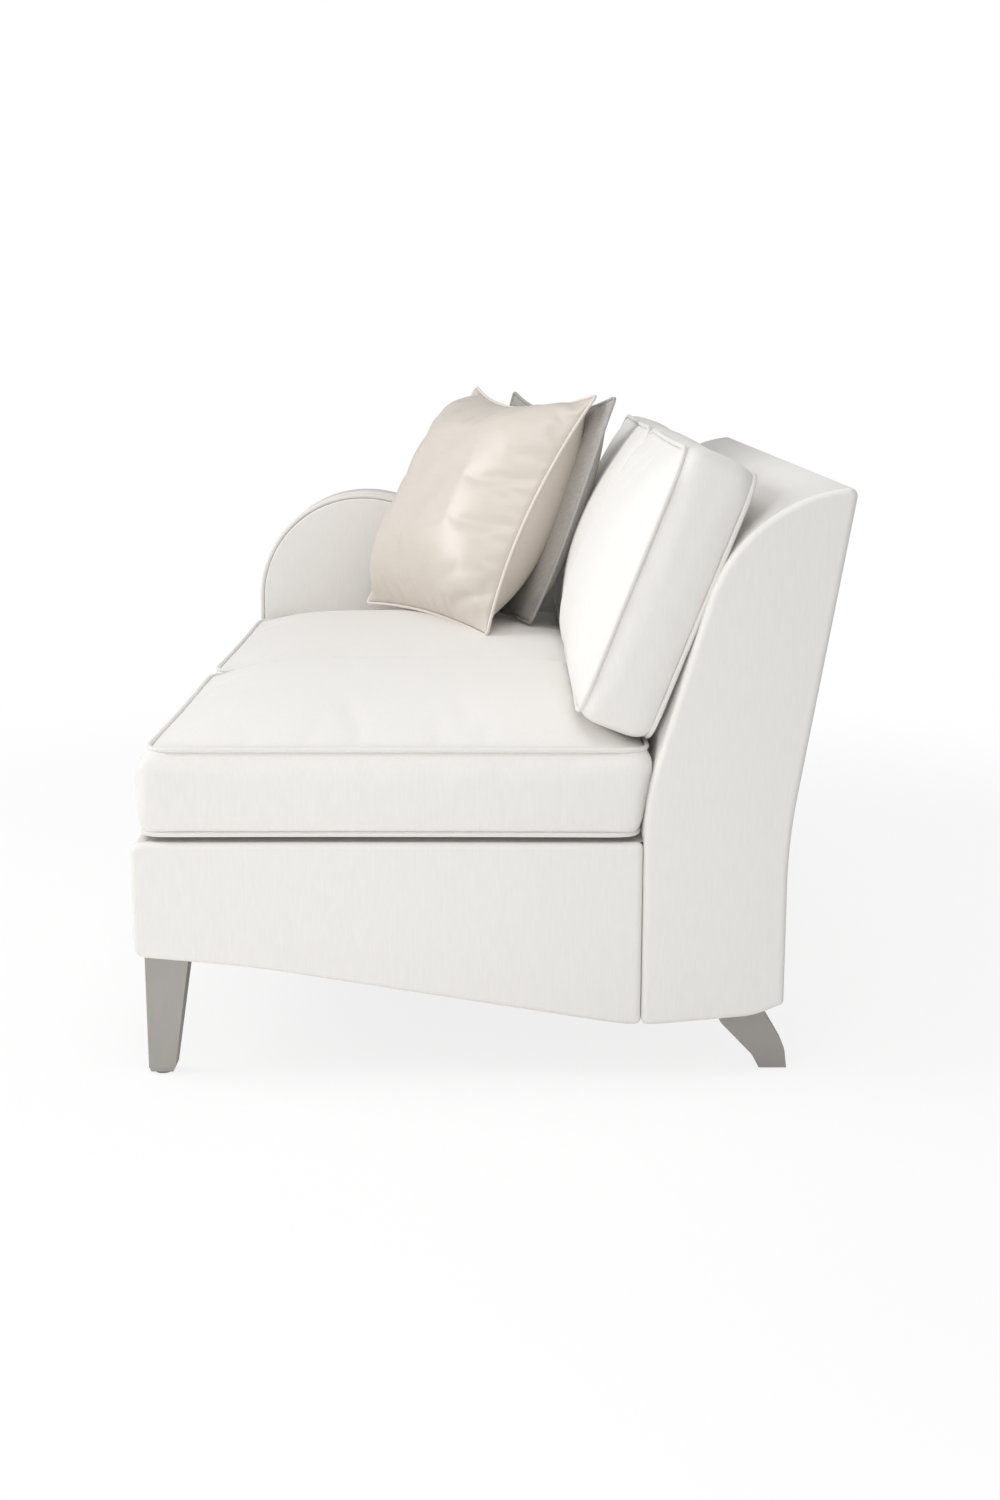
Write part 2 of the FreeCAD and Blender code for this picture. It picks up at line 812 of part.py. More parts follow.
def back_cushion(side):
    x0, x1 = back_spans()[side]
    half = back_cushion_h / 2
    y, z = back_cushion_place()
    crown = pressed_crown if side == "left" else back_crown
    pieces = boxed_cushion(lambda level: (x0, x1, -half, half), back_rear_crown, back_boxing,
                           crown, back_draw, back_draw, back_corner_r, low_steps)
    return moved(pieces, FreeCAD.Placement(vec(0, y, z), back_turn()))


# Throw pillows stand on the left seat cushion and lean on the left back cushion
def pillow_levels(half, front, rear):
    levels = []
    for share, swell, squeeze, corner in reversed(pillow_steps):
        levels.append((-rear * swell, half * share, squeeze, corner))
    levels.append((0.0, 0.0, 1.0, 1.0))
    for share, swell, squeeze, corner in pillow_steps:
        levels.append((front * swell, half * share, squeeze, corner))
    return levels


def pillow_solid(levels, half, wall):
    wires = []
    for z, inset, squeeze, corner in levels:
        if wall > 0 and 0 < abs(z) < 2 * (pillow_wall + core_gap):
            continue
        size = half - inset - wall
        depth_in = z - math.copysign(min(wall, abs(z)), z)
        radius = min(pillow_corner_r * corner, size * round_share)
        wires.append(section(-size, size, -size, size, radius, pillow_pinch * squeeze, depth_in))
    return Part.makeLoft(wires, True, True)


def pillow(half, front, rear, place):
    levels = pillow_levels(half, front, rear)
    outer = pillow_solid(levels, half, 0.0)
    inner = pillow_solid(levels, half, pillow_wall)
    fill = pillow_solid(levels, half, pillow_wall + core_gap)
    size = half + piping_r + core_gap
    corner = pillow_corner_r + piping_r + core_gap
    spine = section(-size, size, -size, size, corner, pillow_pinch, 0.0)
    start = spine.Edges[0]
    ring = Part.makeCircle(piping_r, start.valueAt(start.FirstParameter),
                           start.tangentAt(start.FirstParameter))
    piping = spine.makePipeShell([Part.Wire(ring)], True, False)
    return moved({"cover": outer.cut(inner), "fill": fill, "piping": piping}, place)


def pillow_turning(turn, lean):
    return FreeCAD.Rotation(vec(0, 0, 1), turn).multiply(FreeCAD.Rotation(vec(1, 0, 0), 90 - lean))


def seat_crown_z(x, y):
    x0, x1, y0, y1 = seat_bounds("left")(seat_low_crown + seat_boxing)
    edge = min(x - x0, x1 - x, y - y0, y1 - y)
    half = min(x1 - x0, y1 - y0) / 2
    share = (edge - seat_top_draw) / (half - seat_top_draw)
    last = (0.0, 0.0)
    for step in crown_steps:
        if share <= step[0]:
            rise = last[1] + (step[1] - last[1]) * (share - last[0]) / (step[0] - last[0])
            return seat_bottom + seat_low_crown + seat_boxing + seat_crown * rise
        last = step
    return seat_top_z()


def pillow_stand(base, half, turning):
    reach = half + 2 * piping_r + core_gap
    sag = half * math.tan(math.radians(pillow_pinch) / 2)
    up = turning.multVec(vec(0, 1, 0)).z
    under = piping_r * (1 - up)
    heights = []
    for step in range(-contact_steps, contact_steps + 1):
        share = step / contact_steps
        foot = base + turning.multVec(vec(share * half, -half, 0))
        heights.append(seat_crown_z(foot.x, foot.y) + (reach - sag * (1 - share ** 2)) * up)
    base.z = max(heights) + under + pillow_clear


def arm_top_z(y):
    fall = math.radians(arm_fall)
    crest = frame_front + arm_r
    if y < crest + arm_r * math.sin(fall):
        return arm_height - arm_r + math.sqrt(max(arm_r ** 2 - (y - crest) ** 2, 0.0))
    top = arm_corners(rail_top)[1]
    return top[1] - (y - top[0]) * math.tan(fall)


def pillow_beside_arm(base, half, turning):
    reach = half + piping_r + core_gap
    aside = 0.0
    for step in range(-contact_steps, contact_steps + 1):
        point = base + turning.multVec(vec(-reach, reach * step / contact_steps, 0))
        if point.z - piping_r < arm_top_z(point.y) + pillow_clear:
            aside = max(aside, x_arm_face + pillow_clear + piping_r - point.x)
    base.x += aside


# Moves a pillow straight back until its rear just clears a plane
def pillow_against(half, swell, turning, from_arm, plane, normal):
    reach = half + 2 * piping_r + core_gap
    points = [turning.multVec(vec(a * reach, b * reach, 0)) for a in (-1, 1) for b in (-1, 1)]
    for share, rise, squeeze, corner in pillow_steps:
        size = half * (1 - share)
        for a in (-1, 0, 1):
            for b in (-1, 0, 1):
                points.append(turning.multVec(vec(a * size, b * size, -swell * rise)))
    base = vec(x_arm_face + from_arm, plane.y - half, seat_top_z() + half)
    for _ in range(settle_rounds):
        base.x = x_arm_face + from_arm
        pillow_stand(base, half, turning)
        pillow_beside_arm(base, half, turning)
        base.y += min(normal.dot(base + p - plane) for p in points) / abs(normal.y)
    return FreeCAD.Placement(base, turning)


def rear_pillow_place():
    y, z = back_cushion_place()
    face = back_turn().multVec(vec(0, 0, 1))
    crown = vec(0, y, z) + face * (back_rear_crown + back_boxing + pressed_crown + rest_clear)
    return pillow_against(rear_pillow_half, rear_pillow_rear, pillow_turning(rear_pillow_turn, rear_pillow_lean),
                          rear_pillow_from_arm, crown, face)


def front_pillow_place():
    rear = rear_pillow_place()
    face = rear.Rotation.multVec(vec(0, 0, 1))
    swell = rear.Base + face * (rear_pillow_front + rest_clear)
    return pillow_against(front_pillow_half, front_pillow_rear,
                          pillow_turning(front_pillow_turn, front_pillow_lean),
                          front_pillow_from_arm, swell, face)


# Legs and their hardware
def end_x(end, inset):
    return x_open - inset if end == "open" else x_arm + inset


def rectangle(xa, xb, ya, yb, z):
    x0, x1 = sorted((xa, xb))
    ring = [vec(x0, ya, z), vec(x1, ya, z), vec(x1, yb, z), vec(x0, yb, z)]
    return Part.makePolygon(ring + ring[:1])


front_leg_top_z = frame_z - plate_t
rear_leg_top_z = rear_frame_z - plate_t
front_leg_y = front_y + front_leg_set_y


def front_leg_centre(end):
    return end_x(end, leg_set_x + front_leg_top_x / 2), front_leg_y + front_leg_top_y / 2


def rear_leg_centre(end):
    x = end_x(end, rear_leg_set_x + rear_leg_width / 2)
    return x, rear_foot_y - rear_leg_reach + rear_leg_neck / 2


def bolt_hole(centre, top):
    return rod(*centre, top - bolt_depth - bolt_clear, top, bolt_r + bolt_clear)


def front_leg(end):
    near = end_x(end, leg_set_x)
    wires = []
    rise = front_leg_top_z - glide_h - leg_bevel_h
    for z, share, bevel in ((glide_h, 0.0, leg_bevel), (glide_h + leg_bevel_h, leg_bevel_h, 0.0),
                            (front_leg_top_z, rise + leg_bevel_h, 0.0)):
        grow = share / (rise + leg_bevel_h)
        wide = front_leg_foot_x + (front_leg_top_x - front_leg_foot_x) * grow
        deep = front_leg_foot_y + (front_leg_top_y - front_leg_foot_y) * grow
        side = -1 if end == "open" else 1
        wires.append(rectangle(near + side * bevel, near + side * (wide - bevel),
                               front_leg_y + bevel, front_leg_y + deep - bevel, z))
    leg = Part.makeLoft(wires, True, True)
    return leg.cut(bolt_hole(front_leg_centre(end), front_leg_top_z))


def rear_leg(end):
    heel = rear_foot_y + rear_leg_heel
    neck = rear_foot_y - rear_leg_reach
    shin = (heel - rear_leg_foot - rear_leg_shin[0], glide_h + rear_leg_shin[1], rear_leg_shin[2])
    knee = (neck + rear_leg_knee[0], glide_h + rear_leg_knee[1], rear_leg_knee[2])
    calf = (neck + rear_leg_neck, glide_h + rear_leg_calf_z, rear_leg_calf_r)
    ankle = (heel - rear_leg_ankle[0], glide_h + rear_leg_ankle[1], rear_leg_ankle[2])
    corners = [(heel - rear_leg_foot, glide_h, 0.0), shin, knee, (neck, rear_leg_top_z, 0.0),
               (neck + rear_leg_neck, rear_leg_top_z, 0.0), calf, ankle, (heel, glide_h, 0.0)]
    x0, x1 = sorted((end_x(end, rear_leg_set_x), end_x(end, rear_leg_set_x + rear_leg_width)))
    return slab(corners, x0, x1).cut(bolt_hole(rear_leg_centre(end), rear_leg_top_z))


def leg_tops():
    places = []
    for end in ("open", "arm"):
        places.append((front_leg_centre(end), front_leg_top_z))
        places.append((rear_leg_centre(end), rear_leg_top_z))
    return places


def leg_plates():
    half = plate_size / 2
    solids = []
    for (x, y), top in leg_tops():
        plate = box(x - half, x + half, y - half, y + half, top, top + plate_t)
        solids.append(plate.cut(rod(x, y, top, top + plate_t, bolt_r + bolt_clear)))
    return solids


def leg_bolts():
    return [rod(x, y, top - bolt_depth, top + plate_t, bolt_r) for (x, y), top in leg_tops()]


def leg_glides():
    solids = []
    for end in ("open", "arm"):
        x = end_x(end, leg_set_x + front_leg_foot_x / 2)
        solids.append(rod(x, front_leg_y + front_leg_foot_y / 2, 0, glide_h, glide_r))
        x = rear_leg_centre(end)[0]
        solids.append(rod(x, rear_foot_y + rear_leg_heel - rear_leg_foot / 2, 0, glide_h, glide_r))
    return solids


# Brackets that tie this module to its neighbour
def bracket_places():
    return bracket_mid_y - bracket_spacing / 2, bracket_mid_y + bracket_spacing / 2


def screw_hole(y, z, r, x0, x1):
    return Part.makeCylinder(r, x1 - x0, vec(x0, y, z), vec(1, 0, 0))


def connector_brackets():
    solids = []
    for y in bracket_places():
        y0 = y - bracket_width / 2
        y1 = y + bracket_width / 2
        upright = box(x_open_rail - bracket_t, x_open_rail, y0, y1, bracket_z, bracket_z + bracket_leg)
        foot = box(x_open_rail - bracket_leg, x_open_rail, y0, y1, bracket_z, bracket_z + bracket_t)
        shape = upright.fuse(foot).removeSplitter()
        shape = shape.cut(rod(x_open_rail - bracket_hole_in, y, bracket_z, bracket_z + bracket_t,
                              bracket_hole_r))
        for row in screw_rows:
            shape = shape.cut(screw_hole(y, bracket_z + row, screw_r + bolt_clear,
                                         x_open_rail - bracket_t, x_open_rail))
        solids.append(shape)
    return solids


def bracket_screws():
    solids = []
    for y in bracket_places():
        for row in screw_rows:
            z = bracket_z + row
            head = screw_hole(y, z, screw_head_r, x_open_rail - bracket_t - screw_head_t,
                              x_open_rail - bracket_t)
            shank = screw_hole(y, z, screw_r, x_open_rail - bracket_t, x_open_rail + screw_bite)
            solids.append(head.fuse(shank))
    return solids


def open_end_rail():
    rail = end_rail(x_open_rail, x_open_panel)
    for y in bracket_places():
        for row in screw_rows:
            rail = rail.cut(screw_hole(y, bracket_z + row, screw_r + bolt_clear,
                                       x_open_rail, x_open_rail + screw_bite))
    return rail


def group(solids):
    return Part.makeCompound(solids)


def frame_nodes():
    return {
        "front_rail": box(x_arm_rail, x_open_rail, frame_front, rail_back_of_front, frame_z, rail_top),
        "rear_rail": box(x_arm_rail, x_open_rail, rear_rail_y, rear_rail_y + board, rear_frame_z, rail_top),
        "open_end_rail": open_end_rail(),
        "arm_end_rail": end_rail(x_arm_panel, x_arm_rail),
        "seat_stretchers": group(stretchers()),
        "spring_rails": group(spring_rails()),
        "leg_blocks": group(leg_blocks()),
        "back_ribs": group(back_ribs()),
        "back_top_rails": group(back_top_rails()),
        "back_tack_rails": group(back_tack_rails()),
        "back_webbing": group(back_webbing()),
        "arm_outer_board": slab(arm_inset(rail_top, arm_band), x_arm_panel, x_arm_panel + arm_board),
        "arm_inner_board": slab(arm_inset(rail_top, arm_band), x_arm_core - arm_board, x_arm_core),
        "arm_blocks": group(arm_blocks()),
        "seat_springs": group([sinuous_spring(x) for x in spring_places()]),
        "spring_clips": group(spring_clips()),
    }


def upholstery_nodes():
    pad_low = rail_top + clip_h
    return {
        "deck_pad": deck_layer(pad_low, pad_low + deck_pad),
        "deck_cloth": deck_layer(pad_low + deck_pad, base_top),
        "dust_cover": dust_cover(),
        "front_border": front_border(),
        "open_base_panel": base_end_panel(x_open_panel, x_open),
        "arm_base_panel": base_end_panel(x_arm_panel, x_arm),
        "open_back_panel": back_end_panel(x_open_panel, x_open),
        "arm_back_panel": back_end_panel(x_arm_panel, x_arm),
        "inside_back": inside_back(),
        "outside_back": outside_back(),
        "inside_arm_panel": slab(arm_inset(rail_top, arm_pad), x_arm_core, x_arm_face),
        "outside_arm_panel": slab(arm_inset(base_top + seam_gap, arm_pad), x_arm, x_arm_panel),
        "arm_band": arm_band_cover(),
        "arm_welts": group(arm_welts()),
    }


def leg_nodes():
    return {
        "front_leg_open_end": front_leg("open"),
        "front_leg_arm_end": front_leg("arm"),
        "rear_leg_open_end": rear_leg("open"),
        "rear_leg_arm_end": rear_leg("arm"),
        "leg_plates": group(leg_plates()),
        "leg_bolts": group(leg_bolts()),
        "leg_glides": group(leg_glides()),
        "connector_brackets": group(connector_brackets()),
        "bracket_screws": group(bracket_screws()),
    }


def cushion_nodes():
    nodes = {}
    for side in ("left", "right"):
        for name, shape in seat_cushion(side).items():
            nodes[f"seat_cushion_{name}_{side}"] = shape
        for name, shape in back_cushion(side).items():
            nodes[f"back_cushion_{name}_{side}"] = shape
    front = pillow(front_pillow_half, front_pillow_front, front_pillow_rear, front_pillow_place())
    rear = pillow(rear_pillow_half, rear_pillow_front, rear_pillow_rear, rear_pillow_place())
    for name, shape in front.items():
        nodes[f"front_pillow_{name}"] = shape
    for name, shape in rear.items():
        nodes[f"rear_pillow_{name}"] = shape
    return nodes


os.makedirs("parts", exist_ok=True)
for nodes in (frame_nodes(), upholstery_nodes(), leg_nodes(), cushion_nodes()):
    for node, shape in nodes.items():
        shape.exportStep(f"parts/{node}.step")
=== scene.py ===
import bpy
import math
from mathutils import Matrix, Vector, noise


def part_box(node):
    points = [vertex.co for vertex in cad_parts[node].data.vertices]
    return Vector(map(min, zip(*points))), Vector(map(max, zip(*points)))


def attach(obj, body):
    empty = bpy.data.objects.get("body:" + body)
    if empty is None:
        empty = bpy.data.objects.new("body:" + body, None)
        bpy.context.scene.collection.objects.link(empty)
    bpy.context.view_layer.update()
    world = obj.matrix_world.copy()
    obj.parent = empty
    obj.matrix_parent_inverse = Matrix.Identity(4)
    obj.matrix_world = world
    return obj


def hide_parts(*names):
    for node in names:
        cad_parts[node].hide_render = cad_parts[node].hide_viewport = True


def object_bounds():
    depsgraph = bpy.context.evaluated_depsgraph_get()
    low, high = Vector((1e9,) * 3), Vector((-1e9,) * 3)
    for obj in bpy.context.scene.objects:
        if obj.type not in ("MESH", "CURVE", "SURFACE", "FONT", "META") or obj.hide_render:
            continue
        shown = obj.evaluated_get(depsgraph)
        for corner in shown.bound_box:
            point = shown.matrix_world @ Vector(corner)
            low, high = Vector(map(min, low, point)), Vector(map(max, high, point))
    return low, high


# A one-arm loveseat module seen from its open end. Metres, in the frame of the CAD model.

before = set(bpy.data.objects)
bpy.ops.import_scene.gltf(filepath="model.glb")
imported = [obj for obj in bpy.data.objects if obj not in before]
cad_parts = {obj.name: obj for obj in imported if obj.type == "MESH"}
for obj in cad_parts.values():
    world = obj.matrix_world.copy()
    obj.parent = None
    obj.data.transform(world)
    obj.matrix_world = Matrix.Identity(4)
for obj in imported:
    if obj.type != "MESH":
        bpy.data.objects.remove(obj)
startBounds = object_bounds()
mm = 0.001


# Shader sockets with arithmetic
class Wire:
    def __init__(self, tree, socket=None):
        self.tree = tree
        self.socket = socket

    def node(self, kind, settings, sockets, output=0):
        made = self.tree.nodes.new(kind)
        for key, value in settings.items():
            setattr(made, key, value)
        for key, value in sockets.items():
            if isinstance(value, Wire):
                self.tree.links.new(value.socket, made.inputs[key])
            else:
                made.inputs[key].default_value = value
        return Wire(self.tree, made.outputs[output] if made.outputs else None)

    def maths(self, operation, a, b=0.0):
        return self.node("ShaderNodeMath", {"operation": operation}, {0: a, 1: b})

    def sine(self):
        return self.maths("SINE", self)

    def __add__(self, other):
        return self.maths("ADD", self, other)

    def __radd__(self, other):
        return self.maths("ADD", other, self)

    def __mul__(self, other):
        return self.maths("MULTIPLY", self, other)

    def __rmul__(self, other):
        return self.maths("MULTIPLY", other, self)


def newMaterial(name):
    material = bpy.data.materials.new(name)
    material.use_nodes = True
    material.node_tree.nodes.clear()
    return material, Wire(material.node_tree)


def mixColours(wire, share, low, high):
    return wire.node("ShaderNodeMix", {"data_type": "RGBA"}, {0: share, 6: (*low, 1), 7: (*high, 1)}, 2)


def stretchedNoise(wire, place, scale, detail):
    spread = wire.node("ShaderNodeVectorMath", {"operation": "MULTIPLY"}, {0: place, 1: scale})
    return wire.node("ShaderNodeTexNoise", {}, {"Vector": spread, "Scale": 1.0, "Detail": detail})


def finishMaterial(wire, sockets):
    shader = wire.node("ShaderNodeBsdfPrincipled", {}, sockets)
    wire.node("ShaderNodeOutputMaterial", {}, {"Surface": shader})


clothLook = {"detail": 3.0, "threadRelief": 0.5, "roughSpread": 0.12, "sheenRough": 0.5}
stockLook = {"detail": 4.0, "relief": 0.4 * mm, "roughSpread": 0.1}


# Woven cloth: threads by sines of the place, slubs by stretched noise
def clothMaterial(name, spec):
    material, wire = newMaterial(name)
    place = wire.node("ShaderNodeTexCoord", {}, {}, "Object")
    axes = [wire.node("ShaderNodeSeparateXYZ", {}, {0: place}, i) for i in range(3)]
    turn = math.tau / spec["pitch"]
    threads = [(axis * turn).sine() for axis in axes]
    weave = threads[0] * threads[1] + threads[1] * threads[2] + threads[2] * threads[0]
    slub = stretchedNoise(wire, place, spec["slub"], clothLook["detail"])
    tone = slub + weave * spec["show"]
    height = weave * clothLook["threadRelief"] + slub
    bump = wire.node("ShaderNodeBump", {}, {"Height": height, "Strength": spec["bump"],
                                            "Distance": spec["relief"]})
    finishMaterial(wire, {"Base Color": mixColours(wire, tone, spec["dark"], spec["light"]),
                          "Roughness": spec["rough"] + slub * clothLook["roughSpread"], "Normal": bump,
                          "Sheen Weight": spec["sheen"], "Sheen Roughness": clothLook["sheenRough"],
                          "Specular IOR Level": spec["gloss"]})
    return material


# Painted, moulded, plated or sawn stock
def stockMaterial(name, spec):
    material, wire = newMaterial(name)
    place = wire.node("ShaderNodeTexCoord", {}, {}, "Object")
    grain = stretchedNoise(wire, place, spec["grain"], stockLook["detail"])
    bump = wire.node("ShaderNodeBump", {}, {"Height": grain, "Strength": spec["bump"],
                                            "Distance": stockLook["relief"]})
    finishMaterial(wire, {"Base Color": mixColours(wire, grain, spec["dark"], spec["light"]),
                          "Roughness": spec["rough"] + grain * stockLook["roughSpread"], "Normal": bump,
                          "Metallic": spec["metal"], "Specular IOR Level": spec["gloss"]})
    return material


linen = {"dark": (0.785, 0.765, 0.735), "light": (0.845, 0.825, 0.80), "pitch": 2.6 * mm,
         "slub": (260, 260, 34), "show": 0.06, "bump": 0.10, "relief": 0.5 * mm,
         "rough": 0.82, "sheen": 0.15, "gloss": 0.2}
linenCord = dict(linen, slub=(420, 420, 420), light=(0.84, 0.82, 0.79), dark=(0.75, 0.73, 0.70))
satin = {"dark": (0.655, 0.595, 0.53), "light": (0.70, 0.64, 0.575), "pitch": 1.9 * mm,
         "slub": (24, 24, 160), "show": 0.02, "bump": 0.02, "relief": 0.3 * mm,
         "rough": 0.33, "sheen": 0.0, "gloss": 0.68}
satinCord = dict(satin, light=(0.83, 0.78, 0.72), dark=(0.72, 0.66, 0.60), slub=(500, 500, 500), rough=0.5)
greyWeave = {"dark": (0.33, 0.312, 0.288), "light": (0.52, 0.495, 0.46), "pitch": 6.4 * mm,
             "slub": (300, 300, 300), "show": 0.14, "bump": 0.2, "relief": 0.8 * mm,
             "rough": 0.7, "sheen": 0.1, "gloss": 0.2}
greyCord = dict(greyWeave, light=(0.50, 0.49, 0.48), dark=(0.36, 0.35, 0.34), show=0.1)
deckTwill = dict(linen, light=(0.72, 0.70, 0.67), dark=(0.60, 0.58, 0.55), pitch=3.2 * mm)
cambric = dict(linen, light=(0.035, 0.035, 0.036), dark=(0.015, 0.015, 0.016), pitch=2.2 * mm)
webbingCloth = dict(linen, light=(0.42, 0.36, 0.27), dark=(0.28, 0.23, 0.17), pitch=4.0 * mm, show=0.2)
paint = {"dark": (0.335, 0.315, 0.290), "light": (0.375, 0.355, 0.330), "grain": (60, 60, 14),
         "rough": 0.36, "metal": 0.0, "gloss": 0.45, "bump": 0.05}
hardwood = {"dark": (0.40, 0.26, 0.14), "light": (0.58, 0.42, 0.26), "grain": (9, 40, 40),
            "rough": 0.6, "metal": 0.0, "gloss": 0.3, "bump": 0.1}
zincSteel = {"dark": (0.52, 0.53, 0.55), "light": (0.66, 0.67, 0.69), "grain": (160, 160, 160),
             "rough": 0.32, "metal": 1.0, "gloss": 0.5, "bump": 0.04}
nylon = {"dark": (0.20, 0.19, 0.18), "light": (0.25, 0.24, 0.225), "grain": (300, 300, 300),
         "rough": 0.45, "metal": 0.0, "gloss": 0.4, "bump": 0.05}

materials = {"ivory_linen": clothMaterial("ivory_linen", linen),
             "ivory_cord": clothMaterial("ivory_cord", linenCord),
             "champagne_satin": clothMaterial("champagne_satin", satin),
             "champagne_piping": clothMaterial("champagne_piping", satinCord),
             "grey_weave": clothMaterial("grey_weave", greyWeave),
             "grey_piping": clothMaterial("grey_piping", greyCord),
             "deck_twill": clothMaterial("deck_twill", deckTwill),
             "black_cambric": clothMaterial("black_cambric", cambric),
             "webbing": clothMaterial("webbing", webbingCloth),
             "greige_paint": stockMaterial("greige_paint", paint),
             "hardwood": stockMaterial("hardwood", hardwood),
             "zinc_steel": stockMaterial("zinc_steel", zincSteel),
             "nylon": stockMaterial("nylon", nylon)}


def dress(piece, body, slot, nodes, finish=None):
    piece.data.materials.clear()
    piece.data.materials.append(materials[finish or slot])
    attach(piece, body)
    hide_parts(*nodes)
    return piece


def makePiece(name, points, faces, flatFaces=()):
    mesh = bpy.data.meshes.new(name)
    mesh.from_pydata([tuple(p) for p in points], [], faces)
    mesh.validate()
    mesh.update()
    mesh.polygons.foreach_set("use_smooth", [True] * len(mesh.polygons))
    for i in flatFaces:
        mesh.polygons[i].use_smooth = False
    piece = bpy.data.objects.new(name, mesh)
    bpy.context.scene.collection.objects.link(piece)
    return piece


print("stage: materials")


arcs = {"share": 0.98, "least": 0.4 * mm, "none": 1e-7}  # share of a side, least radius, straight below


# Outlines in the YZ plane: clockwise corners of (y, z, radius)
def heading(a, b):
    size = math.hypot(b[0] - a[0], b[1] - a[1])
    return (b[0] - a[0]) / size, (b[1] - a[1]) / size


def crossing(p, d, q, e):
    spin = d[0] * e[1] - d[1] * e[0]
    s = ((q[0] - p[0]) * e[1] - (q[1] - p[1]) * e[0]) / spin
    return p[0] + s * d[0], p[1] + s * d[1]


def insetCorners(corners, insets):
    count = len(corners)
    lines = []
    for i in range(count):
        a = corners[i]
        d = heading(a, corners[(i + 1) % count])
        lines.append(((a[0] + d[1] * insets[i], a[1] - d[0] * insets[i]), d))
    inner = []
    for i in range(count):
        (p, d), (q, e) = lines[i - 1], lines[i]
        turn = d[0] * e[1] - d[1] * e[0]
        radius = corners[i][2]
        if radius > 0:
            radius = max(radius + math.copysign(max(insets[i - 1], insets[i]), turn), arcs["least"])
        inner.append((*crossing(p, d, q, e), radius))
    return inner


def sampled(corners, arcSteps, openEnd=False):
    count = len(corners)
    heads = [heading(corners[i], corners[(i + 1) % count]) for i in range(count)]
    turns = []
    for i in range(count):
        d, e = heads[i - 1], heads[i]
        turns.append(math.atan2(d[0] * e[1] - d[1] * e[0], d[0] * e[0] + d[1] * e[1]))
    reach = [abs(corners[i][2] * math.tan(turns[i] / 2)) for i in range(count)]
    if openEnd:
        reach[0] = reach[-1] = 0
    for i in range(count):
        j = (i + 1) % count
        over = reach[i] + reach[j] - arcs["share"] * math.dist(corners[i][:2], corners[j][:2])
        if over > 0:
            reach[i if reach[i] > reach[j] else j] -= over
    points = []
    for i in range(count):
        y, z = corners[i][:2]
        if reach[i] < arcs["none"]:
            points.append((y, z))
            continue
        d, e = heads[i - 1], heads[i]
        radius = reach[i] / math.tan(abs(turns[i]) / 2)
        side = math.copysign(1, turns[i])
        cy = y - d[0] * reach[i] - d[1] * radius * side
        cz = z - d[1] * reach[i] + d[0] * radius * side
        start = math.atan2(z - d[1] * reach[i] - cz, y - d[0] * reach[i] - cy)
        for k in range(arcSteps + 1):
            angle = start + turns[i] * k / arcSteps
            points.append((cy + radius * math.cos(angle), cz + radius * math.sin(angle)))
    return points


# A padded panel or run: its outline carried along X, with the edges rolled at either end
def rolledSlab(name, corners, x0, x1, roll0, roll1, arcSteps=14, rollSteps=5):
    rings = []
    lip = 1.0 * mm
    for x, roll, inward in ((x0, roll0, 1), (x1, roll1, -1)):
        levels = [(x, 0.0)]
        if roll > 0:
            levels = [(x, roll + lip)]
            for k in range(rollSteps + 1):
                angle = math.pi / 2 * k / rollSteps
                levels.append((x + inward * roll * (1 - math.sin(angle)), roll * (1 - math.cos(angle))))
            levels[1:] = sorted(levels[1:], key=lambda level: -level[1])
        rings += levels if inward > 0 else levels[::-1]
    points = []
    count = 0
    for x, inset in rings:
        loop = sampled(insetCorners(corners, [inset] * len(corners)) if inset > 0 else corners, arcSteps)
        count = len(loop)
        points += [(x, y, z) for y, z in loop]
    faces = []
    for r in range(len(rings) - 1):
        for i in range(count):
            j = (i + 1) % count
            faces.append((r * count + i, r * count + j, (r + 1) * count + j, (r + 1) * count + i))
    last = (len(rings) - 1) * count
    faces.append(tuple(range(count - 1, -1, -1)))
    faces.append(tuple(range(last, last + count)))
    return makePiece(name, points, faces, (len(faces) - 2, len(faces) - 1))


def tube(name, paths, radius, closed, sides=10):
    points, faces = [], []
    for path in paths:
        base = len(points)
        count = len(path)
        middle = sum(path, Vector()) / count
        flat = sum(((a - middle).cross(b - middle) for a, b in zip(path, path[1:])), Vector()).normalized()
        for i, p in enumerate(path):
            a = path[i - 1] if closed or i > 0 else p
            b = path[(i + 1) % count] if closed or i < count - 1 else p
            along = (b - a).normalized()
            u = along.cross(flat).normalized()
            v = along.cross(u)
            for k in range(sides):
                angle = math.tau * k / sides
                points.append(p + (u * math.cos(angle) + v * math.sin(angle)) * radius)
        for i in range(count if closed else count - 1):
            j = (i + 1) % count
            for k in range(sides):
                m = (k + 1) % sides
                faces.append((base + i * sides + k, base + i * sides + m,
                              base + j * sides + m, base + j * sides + k))
        if not closed:
            faces.append(tuple(base + k for k in range(sides))[::-1])
            faces.append(tuple(base + (count - 1) * sides + k for k in range(sides)))
    return makePiece(name, points, faces)


# Back, base and arm: places come from the CAD boxes, bends from the named values
backLow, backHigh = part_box("open_back_panel")
baseLow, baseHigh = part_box("open_base_panel")
insideLow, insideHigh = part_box("inside_back")
borderLow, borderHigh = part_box("front_border")
outsideLow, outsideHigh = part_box("outside_back")
bandLow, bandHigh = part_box("arm_band")

